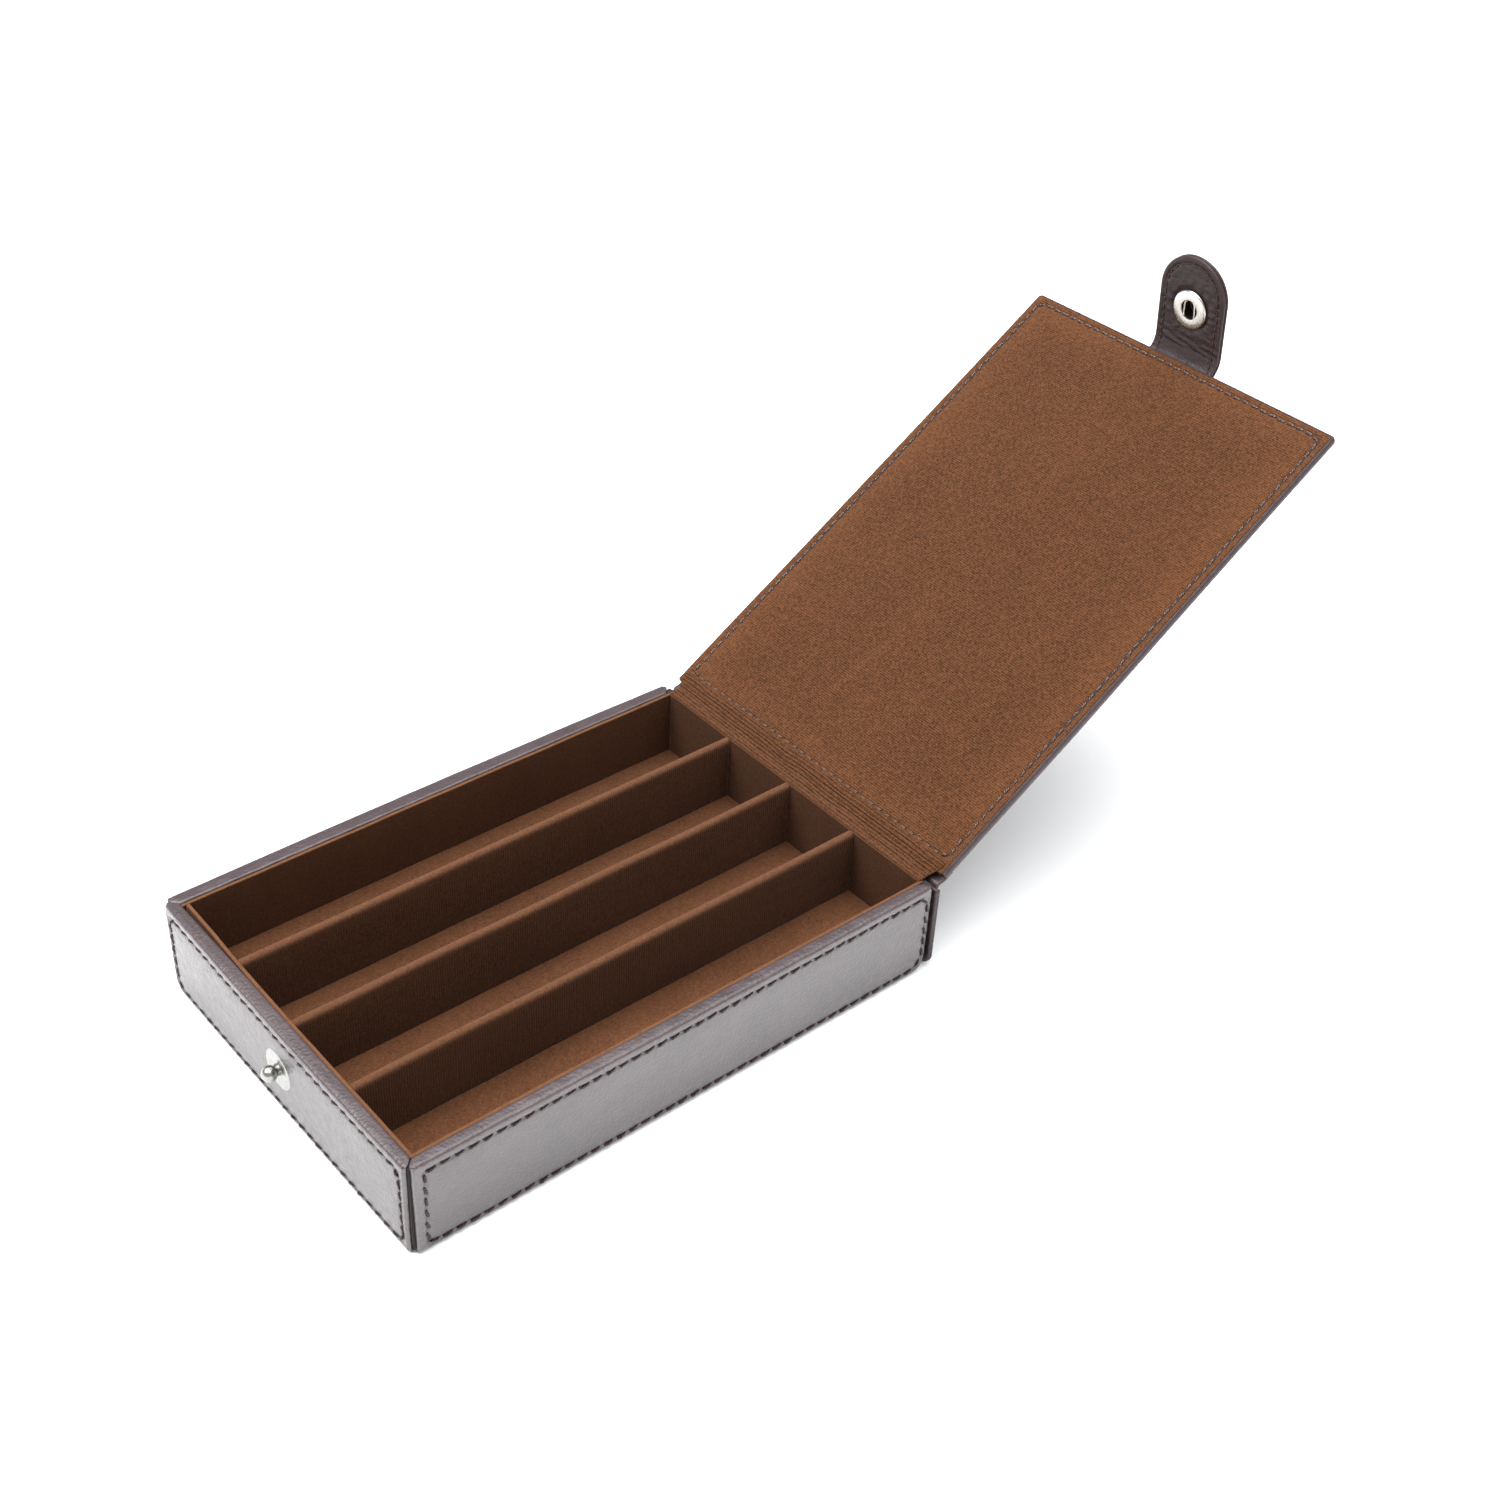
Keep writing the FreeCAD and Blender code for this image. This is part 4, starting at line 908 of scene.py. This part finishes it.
def lid_hide():
    """The outer hide, turned up round three edges of the board."""
    low, high = (-LID_HALF, LID_NEAR, -LID_THICK), (LID_HALF, LID_FAR, 0.0)
    turned = [low[0] + LID_HIDE, high[0] - LID_HIDE]
    x = lid_lines(0, low, high, 1.1, LID_EDGE, 0.8, turned)
    y = lid_lines(1, low, high, 1.1, LID_EDGE, 0.8, [high[1] - LID_HIDE])
    z = np.array([-3.0, -2.93, -2.8, -2.6, -2.2, -1.7, -1.2, -0.8, -0.4, -0.2, -0.07, 0.0])
    flat = grid(x, y, z)
    keep = np.ones([size - 1 for size in flat.shape[:3]], bool)
    inside_x = (x[:-1] >= turned[0] - TOUCH) & (x[1:] <= turned[1] + TOUCH)
    inside_y = y[1:] <= high[1] - LID_HIDE + TOUCH
    hollow = z[:-1] >= -LID_BOARD - LID_LINING - TOUCH
    keep &= ~(inside_x[:, None, None] & inside_y[None, :, None] & hollow[None, None, :])
    points, inset = rounded_slab(flat, low, high, [0.4, 0.4, 1.6, 1.4], LID_EDGE)
    x, y, z = parts(points)
    distance, signed = loop_distance(x, y, LID_LOW, LID_HIGH, LID_RADII)
    swell = 0.26 * fall(distance, 0.55) - 0.12 * smooth(-signed, 0.2, 5)
    swell = swell + 0.05 * ripple(x, y, 83, 10.0) * smooth(inset, 0.5, 2)
    z += smooth(-flat[..., 2], 2.2, 3.0) * swell * smooth(inset, 0.1, 1.2)
    piece = lattice("lid_hide", lid_shape(points), flat + 101.0, LID, keep, wear=0.3 * fall(inset, 0.4))
    finish_piece(piece, "lid", LID_COVER, "case_leather", "lid_leather")


def lid_cloth():
    """The ribbed lining of the lid, with a faint brushed streak and a band of painted light along its edges."""
    inset_from_edge = LID_HIDE + 0.12
    high = (LID_HALF - inset_from_edge, LID_FAR - inset_from_edge, 0.0)
    low = (-high[0], LID_NEAR, -LID_LINING)
    x, y = (lid_lines(axis, low, high, 0.9, 0.3, 0.7) for axis in (0, 1))
    flat = grid(x, y, [-LID_LINING, -0.3, -0.12, 0.0])
    points, inset = rounded_slab(flat, low, high, 0.3, 0.2)
    upper = (flat[..., 2] + LID_LINING) / LID_LINING
    points[..., 2] += upper * lid_relief(points[..., 0], points[..., 1])
    points = lid_shape(points)
    x, y, _ = parts(points)
    streak = fall(x + 14 - 0.12 * y, 1.0) * smooth(y, 12, 24) * (1 - smooth(y, 50, 75))
    # Painted light: the lining is painted lighter in a band along its edges, fading over about 9 mm. The streak
    # and the slow ripple are the cloth's own tone.
    tone = fall(inset, 9.0) + 0.5 * streak - 0.2 + 0.06 * ripple(x, y, 73, 40.0)
    piece = lattice("lid_cloth", points, flat + 7.0, LID, tone=tone)
    finish_piece(piece, "lid", LID_CLOTH, "lid_suede", "lid_lining")


def lid_seams():
    """The lid's seam, as it shows on the lining and on the hide."""
    def inside(flat):
        x, y, height = parts(flat)
        return lid_shape(join(x, y, height + lid_relief(x, y)))

    def outside(flat):
        x, y, height = parts(flat)
        return lid_shape(join(x, y, 0.22 - LID_THICK - height))

    seam = stitching("lid_seam_inside", LID_ROUTE, inside, LID, LID_STITCH, 0.38, 8, 0.86, 0.2)
    finish_piece(seam, "lid", LID_THREAD, "thread", "lid_stitching")
    seam = stitching("lid_seam_outside", LID_ROUTE, outside, LID, LID_STITCH)
    finish_piece(seam, "lid", THREAD, "thread")


# ---------------------------------------------------------------- hinge
def lid_point(along, inward):
    """Row-frame (y, z) in millimetres of a point of the lid's frame."""
    spot = spot_in(LID, 0, along, inward)
    return (spot.y / MM, spot.z / MM)


def bent_strip(path, half, edge, thick, count):
    """A block of points along a bent path in the Y and Z axes, thick above and below it.

    Gives the points, their flat places and the path's normal at each.
    """
    middle, run = spline(path, count)
    slope = np.gradient(middle, axis=0)
    slope /= np.linalg.norm(slope, axis=1)[:, None]
    normal = join(-slope[:, 1], slope[:, 0])
    across = steps(-half, half, 1.0, edges(-half, half, edge))
    x, s, w = np.meshgrid(across, np.arange(count), thick, indexing="ij")
    spots = middle[s] + normal[s] * w[..., None]
    return join(x, spots[..., 0], spots[..., 1]), join(x, run[s], w), normal[s]


def thin_ends(points, place, normal, half, radius):
    """Round a bent strip's two ends by drawing its faces together."""
    end = np.clip(radius - (half - np.abs(points[..., 0])), 0, radius)
    squeeze = 1 - np.sqrt(np.clip(1 - (end / radius) ** 2, 0.02, 1))
    points[..., 1:] -= normal * (place[..., 2] * squeeze)[..., None]


def hinge_hide():
    """The outer leather that rolls over the back's top."""
    lid_skin, half, thick = -LID_THICK + 0.42, BACK_HALF + 0.25, 0.55
    path = [(BACK_INNER + y, BACK_TOP + z) for y, z in ((1.45, -2.4), (1.6, -0.3), (2.1, 0.75), (3.1, 1.1))]
    path += [lid_point(LID_NEAR - 0.1, lid_skin - 0.1), lid_point(LID_NEAR + 2.8, lid_skin - 0.15)]
    points, place, normal = bent_strip(path, half, 0.6, [-thick, -0.4, -0.15, 0.15, 0.4, thick], 34)
    thin_ends(points, place, normal, half, thick)
    creases = 0.07 * ripple(place[..., 0] * 0.15, place[..., 1], 91, 1.3, 6)
    points[..., 1:] += normal * (creases * (place[..., 2] > 0))[..., None]
    wear = 0.25 + 0.35 * fall(half - np.abs(points[..., 0]), 1.0)
    piece = lattice("hinge_hide", points, place + 131.0, TRAY, wear=wear)
    finish_piece(piece, None, LID_COVER, "case_leather", "hinge_leather")
    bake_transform(piece)


def hinge_cloth():
    """The pleated cloth inside the hinge, from the back lining's top to the lid's seam, its pleats' valleys
    painted darker as shade.
    """
    half, thick = LINING_FACE_X + 0.3, 0.3
    path = [(LINING_FACE_Y + y, LINING_TOP + z) for y, z in ((0.15, 0.18), (1.6, 0.28), (3.0, 0.55))]
    path += [lid_point(0.2, 0.02), lid_point(LID_NEAR + 1.0, 0.24),
             lid_point(LID_LOW[1] - 1.6, 0.3), lid_point(LID_LOW[1] - 0.1, 0.12)]
    points, place, normal = bent_strip(path, half, 0.3, [-thick, -0.15, 0.0, 0.15, thick], 110)
    x, run, w = parts(place)
    length = run.max()
    points[..., 0] *= 1 + 0.03 * smooth(run, 2.6, length - 2)
    pleats = (HALF_Y - LINING_FACE_Y) * 2.3
    wander = 0.28 * ripple(x, run * 0, 97, 26.0) + 0.14 * ripple(x, run, 98, 9.0)
    fold = np.abs(np.sin(math.pi * (run + wander) / length * pleats)) ** 0.8
    depth = smooth(run, 0.2, 1.0) * (1 - smooth(run, length - 2.0, length - 0.2))
    upper = (w + thick) / 2 / thick
    points[..., 1:] += normal * ((fold - 0.6) * 0.42 * depth * upper)[..., None]
    thin_ends(points, place, normal, half, thick)
    # Painted shade: the pleats' valleys are painted darker, and their crests a little lighter as painted
    # highlight.
    piece = lattice("hinge_cloth", points, place + 3.0, TRAY, tone=(fold - 0.75) * 1.3 * depth)
    finish_piece(piece, None, LID_CLOTH, "lid_suede", "hinge_lining")
    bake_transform(piece)


# ---------------------------------------------------------------- closing tab
def tab_bend(flat):
    """Bend flat tab points: Y runs from inside the lid to the tip, Z is towards the lining.

    The first part lies in the lid, then an arc turns by the tab's angle, then it is straight.
    """
    x, y, z = parts(flat)
    start = -TAB_BEND * math.tan(TAB_ANGLE / 2)
    length = TAB_BEND * TAB_ANGLE
    angle = np.clip((y - start) / length, 0, 1) * TAB_ANGLE
    before = np.minimum(y - start, 0)
    after = np.maximum(y - start - length, 0)
    along = start + before + (TAB_BEND - z) * np.sin(angle) + after * np.cos(angle)
    inward = TAB_BEND - (TAB_BEND - z) * np.cos(angle) + after * np.sin(angle)
    return join(x, along + TAB_OUT, inward - TAB_DOWN)


def tab_flat_reach(reach):
    """Where a distance from the bend line along the straight tab lies on the flat tab."""
    return reach + TAB_BEND * TAB_ANGLE - 2 * TAB_BEND * math.tan(TAB_ANGLE / 2)


TAB_ROUND = tab_flat_reach(TAB_TIP) - TAB_HALF
TAB_SNAP = tab_flat_reach(SNAP_REACH)


def tab_inset(x, y):
    """Distance in from the flat tab's edge."""
    return TAB_HALF - np.where(y > TAB_ROUND, np.hypot(x, y - TAB_ROUND), np.abs(x))


def tab_relief(x, y):
    """Height of the tab's inner face over flat: seam, sunk ring, puckers and flex creases."""
    edge = tab_inset(x, y)
    from_snap = np.hypot(x, y - TAB_SNAP)
    heading = np.arctan2(y - TAB_SNAP, x)
    groove = -0.22 * fall(edge - TAB_SEAM, 0.5)
    sunk = -0.42 * (1 - smooth(from_snap, 5.8, 7.2))
    pucker = 0.07 * np.sin(heading * 17 + 1.5 * np.sin(heading * 3)) * fall(from_snap - 7.4, 1.5)
    creases = 0.16 * ripple(x * 0.22, y + 0.12 * x, 113, 1.7, 7, math.pi / 2) * fall(y - 3.5, 4.6)
    return groove + sunk + pucker + creases + 0.05 * ripple(x, y, 117, 5.0) * smooth(edge, 0.5, 2.5)


def tab_layer(name, low, high, first, *nodes):
    """One leather of the tab, on the cells of a strip whose end is drawn into a half disc."""
    u = steps(-1, 1, 0.045, [side * part for side in (-1, 1) for part in (0.995, 0.98, 0.95, 0.91)])
    v = np.concatenate([steps(first, TAB_ROUND, 0.42), TAB_ROUND + np.linspace(0, 1, 30)[1:] * TAB_HALF])
    across, along, level = parts(grid(u, v, np.linspace(low, high, 6)))
    cap = np.clip((along - TAB_ROUND) / TAB_HALF, 0, 1)
    x = TAB_HALF * across * np.sqrt(1 - cap ** 2 / 2)
    y = np.where(along > TAB_ROUND, TAB_ROUND + TAB_HALF * cap * np.sqrt(1 - across ** 2 / 2), along)
    edge = np.clip(tab_inset(x, y), 0, None)
    # Drop the cells inside the snap's hole. The ring and the cap cover its rim.
    gap = np.hypot(x, y - TAB_SNAP)[..., 0]
    hole = (gap[:-1, :-1] + gap[1:, 1:] + gap[:-1, 1:] + gap[1:, :-1]) / 4 < 3.3
    keep = np.repeat(~hole[:, :, None], 5, axis=2)
    radius = (high - low) / 2 * 0.95
    inside = np.clip(radius - edge, 0, radius)
    squeeze = np.sqrt(np.clip(1 - (inside / radius) ** 2, 0.03, 1))
    face, relief = np.clip((level - low) / (high - low), 0, 1), tab_relief(x, y)
    if low < 0:
        face, relief = 1 - face, -relief
    middle = (low + high) / 2
    level = middle + (level - middle) * squeeze + relief * face * smooth(edge, 0.05, 0.8)
    flat = join(x, y, level)
    cracks = np.clip(ripple(x * 0.22, y, 119, 1.5, 6, math.pi / 2), 0, 1)
    wear = 0.7 * fall(edge, 0.5) + 0.4 * fall(y - 3.5, 4.0) * cracks
    piece = lattice(name, tab_bend(flat), flat + 151.0, LID, keep, wear=wear)
    finish_piece(piece, None, TAB_HIDE, "tab_leather", *nodes)
    blend_tab(piece)


def blend_tab(piece):
    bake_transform(piece)


def tab_pieces():
    """The tab's two leathers and their seam, which shows on both sides."""
    tab_layer("tab_inner_hide", 0.1, TAB_LAYER, -TAB_ROOT, "tab_inner_leather", "tab_root")
    tab_layer("tab_outer_hide", -TAB_LAYER, -0.1, 0.4 - TAB_ROOT, "tab_outer_leather")
    half, foot = TAB_HALF - TAB_SEAM, -1.4
    sweep = [(half * math.cos(a), TAB_ROUND + half * math.sin(a)) for a in np.linspace(0, math.pi, 40)]
    route = np.array([(half, foot)] + sweep + [(-half, foot)])
    for name, side, nodes in (("tab_seam_inside", 1, ("tab_stitching",)), ("tab_seam_outside", -1, ())):
        def wrap(flat):
            x, y, height = parts(flat)
            return tab_bend(join(x, y, side * (TAB_LAYER + tab_relief(x, y) + height + 0.08)))

        seam = stitching(name, route, wrap, LID, TAB_STITCH, 0.23, 10, 0.82, 0.1)
        finish_piece(seam, None, TAB_THREAD, "thread", *nodes)
        blend_tab(seam)


# ---------------------------------------------------------------- snap fastener
def darken_inside(piece, matrix):
    """Dark metal painted inside the snap's bore, down to the cap's hollow, as painted shade."""
    axis = np.array(matrix.to_3x3().col[2])
    middle = np.array(matrix.translation)

    def in_bore(centre):
        gap = np.array(centre) - middle
        along = gap.dot(axis)
        return np.linalg.norm(gap - axis * along) < 2.8 * MM and -2.46 * MM < along < 2.0 * MM

    repaint(piece, SNAP_BORE_SHADE, in_bore)


def snap_pieces():
    """Socket ring, spring and cap on the tab, washer and ball stud on the front wall."""
    at_snap = TAB @ shift(0, SNAP_REACH, 0)
    ring = [(2.75, -TAB_LAYER), (3.2, -TAB_LAYER), (3.2, 0.5), (4.6, 0.58), (5.55, 0.62)]
    ring += arc((5.3, 1.12), 0.52, -80, 88, 12)
    ring += [(5.0, 1.67), (4.5, 1.72), (3.9, 1.74), (3.4, 1.72)]
    ring += arc((3.02, 1.38), 0.34, 86, 195, 8)
    ring += [(2.68, 1.1), (4.2, 1.05), (4.2, 0.75), (2.75, 0.7)]
    piece = lathe("socket_ring", ring, at_snap)
    finish_piece(piece, "tab", NICKEL, "nickel", "snap_socket")
    darken_inside(piece, at_snap)

    gap, leg, bend = 1.78, 2.55, 1.15
    path = [(gap, -leg, 0.0), (gap + 0.12, -leg * 0.5, 0), (gap + 0.02, 0, 0), (gap, bend, 0)]
    path += [(gap * math.cos(a), bend + gap * math.sin(a), 0) for a in np.linspace(0.2, math.pi - 0.2, 12)]
    path += [(-gap, bend, 0), (-gap - 0.02, 0, 0), (-gap - 0.12, -leg * 0.5, 0), (-gap, -leg, 0)]
    piece = tube("socket_spring", spline(path, 70)[0], 0.26, at_snap @ shift(0, 0, 1.38))
    finish_piece(piece, "tab", SPRING, "spring_wire", "snap_spring")

    crown = [(0.0, 1.95)] + [(r, 1.95 - 1.1 * (r / 5.7) ** 2.6) for r in np.linspace(0.6, 5.6, 16)]
    crown += arc((5.65, 0.42), 0.45, 60, -60, 8)
    crown += [(5.3, 0.0), (2.75, 0.0), (2.75, 1.2), (2.2, 1.38), (0.0, 1.38)]
    piece = lathe("cap_dome", crown, at_snap @ shift(0, 0, -TAB_LAYER + 0.05) @ turn("X", math.pi))
    finish_piece(piece, "tab", NICKEL, "nickel", "snap_cap")
    darken_inside(piece, at_snap)

    at_stud = FRONT @ shift(0, 0, STUD_LEVEL) @ turn("X", math.radians(90)) @ shift(0, 0, 0.55)
    disc = [(1.0, 0.0), (5.3, 0.0)] + arc((5.35, 0.22), 0.22, -90, 70, 8)
    disc += [(r, 0.50 + 0.16 * fall(r - 3.6, 1.2)) for r in np.linspace(5.1, 2.0, 12)]
    disc += arc((1.75, 0.35), 0.18, 80, 180, 4) + [(1.0, 0.2)]
    finish_piece(lathe("stud_plate", disc, at_stud), "tray", STUD_NICKEL, "nickel", "stud_washer")

    reach, ball = 2.6, 2.07
    post = [(0.0, reach + ball)] + arc((0.0, reach), ball, 86, -46, 22)
    post += [(1.42, reach - 1.70), (1.4, 0.75)] + arc((1.8, 0.6), 0.4, 180, 260, 5)
    post += [(1.6, 0.2), (1.0, 0.2), (1.0, -3.2), (0.0, -3.2)]
    finish_piece(lathe("stud_ball", post, at_stud), "tray", STUD_NICKEL, "nickel", "stud_post")


def inner_parts():
    """Materials for the CAD nodes that stay: boards, foam and the rivet's flange."""
    for name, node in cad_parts.items():
        for word, material in (("board", BOARD), ("core", BOARD), ("foam", FOAM), ("rivet", NICKEL)):
            if word in name:
                for slot in node.material_slots:
                    slot.material = material


# ---------------------------------------------------------------- stage, lights and camera
def stage():
    """A pale floor that glows faintly, so that it renders as a clear white."""
    reach = 4.0
    mesh = bpy.data.meshes.new("floor")
    corners = [(x, y, 0) for x, y in ((-reach, -reach), (reach, -reach), (reach, reach), (-reach, reach))]
    mesh.from_pydata(corners, [], [(0, 1, 2, 3)])
    floor = bpy.data.objects.new("floor", mesh)
    floor.location.z = -0.0002
    bpy.context.scene.collection.objects.link(floor)
    paint = Shader("pale_floor")
    paper = paint.noise(paint.in_object(), 300, 3)
    colour = paint.mix(paint.spread(paper, 0.3, 0.7), (0.86, 0.865, 0.87), (0.89, 0.893, 0.897))
    floor.data.materials.append(paint.finish({
        "Base Color": colour, "Roughness": 0.9,
        "Emission Color": (0.97, 1.0, 1.0, 1), "Emission Strength": 0.14}))


def lamp(name, spot, aim, size, power):
    light = bpy.data.lights.new(name, "AREA")
    light.shape = "RECTANGLE"
    light.size, light.size_y = size
    light.energy = power
    item = bpy.data.objects.new(name, light)
    item.location = spot
    item.rotation_euler = (Vector(aim) - Vector(spot)).to_track_quat("-Z", "Y").to_euler()
    bpy.context.scene.collection.objects.link(item)


def lights():
    """A studio sky, pale at the horizon, darker above it and bright overhead, and three soft lamps."""
    world = bpy.data.worlds.new("studio")
    world.use_nodes = True
    tree = world.node_tree
    sky = tree.nodes["Background"]
    sky.inputs["Color"].default_value = (0.97, 0.98, 1.0, 1)
    heading, split, height, power = (tree.nodes.new(f"ShaderNode{kind}") for kind in (
        "TexCoord", "SeparateXYZ", "ValToRGB", "Math"))
    height.color_ramp.interpolation = "EASE"
    stops = height.color_ramp.elements
    for spot, value in ((0.22, 0.34), (0.38, 0.14), (0.62, 0.24)):
        stops.new(spot).color = (value, value, value, 1)
    stops[0].color, stops[-1].color = (0.42, 0.42, 0.42, 1), (1, 1, 1, 1)
    power.operation = "MULTIPLY"
    power.inputs[1].default_value = 2.6
    tree.links.new(heading.outputs["Generated"], split.inputs["Vector"])
    tree.links.new(split.outputs["Z"], height.inputs["Fac"])
    tree.links.new(height.outputs["Color"], power.inputs[0])
    tree.links.new(power.outputs[0], sky.inputs["Strength"])
    bpy.context.scene.world = world
    bpy.context.scene.view_settings.view_transform = "Standard"
    lamp("overhead", (-0.1, 0.1, 1.5), (0, 0, 0), (1.6, 1.6), 32)
    lamp("front_high", (-0.5, -0.75, 1.3), (-0.1, -0.15, 0), (1.0, 0.8), 20)
    lamp("right_fill", (1.3, 0.5, 0.6), (0, 0, 0.02), (1.0, 0.8), 2)


def camera():
    azimuth, elevation, roll = (math.radians(angle) for angle in (48.17, 36.68, 3.24))
    lens = bpy.data.cameras.new("view")
    lens.lens, lens.sensor_width = 50.13, 36.0
    lens.clip_start = 0.01
    item = bpy.data.objects.new("view", lens)
    forward = Vector((-math.sin(azimuth) * math.cos(elevation), math.cos(azimuth) * math.cos(elevation),
                      -math.sin(elevation)))
    item.location = (0.33136, -0.23416, 0.37751)
    item.rotation_mode = "QUATERNION"
    item.rotation_quaternion = forward.to_track_quat("-Z", "Y") @ Quaternion((0, 0, 1), roll)
    bpy.context.scene.collection.objects.link(item)
    bpy.context.scene.camera = item


camera()
lights()
stage()
for wall in WALLS:
    wall_hide(wall)
for build in (back_cover, base_sheets, linings, dividers, floor_pads, lid_hide, lid_cloth, lid_seams,
              hinge_hide, hinge_cloth, tab_pieces, snap_pieces, inner_parts):
    build()
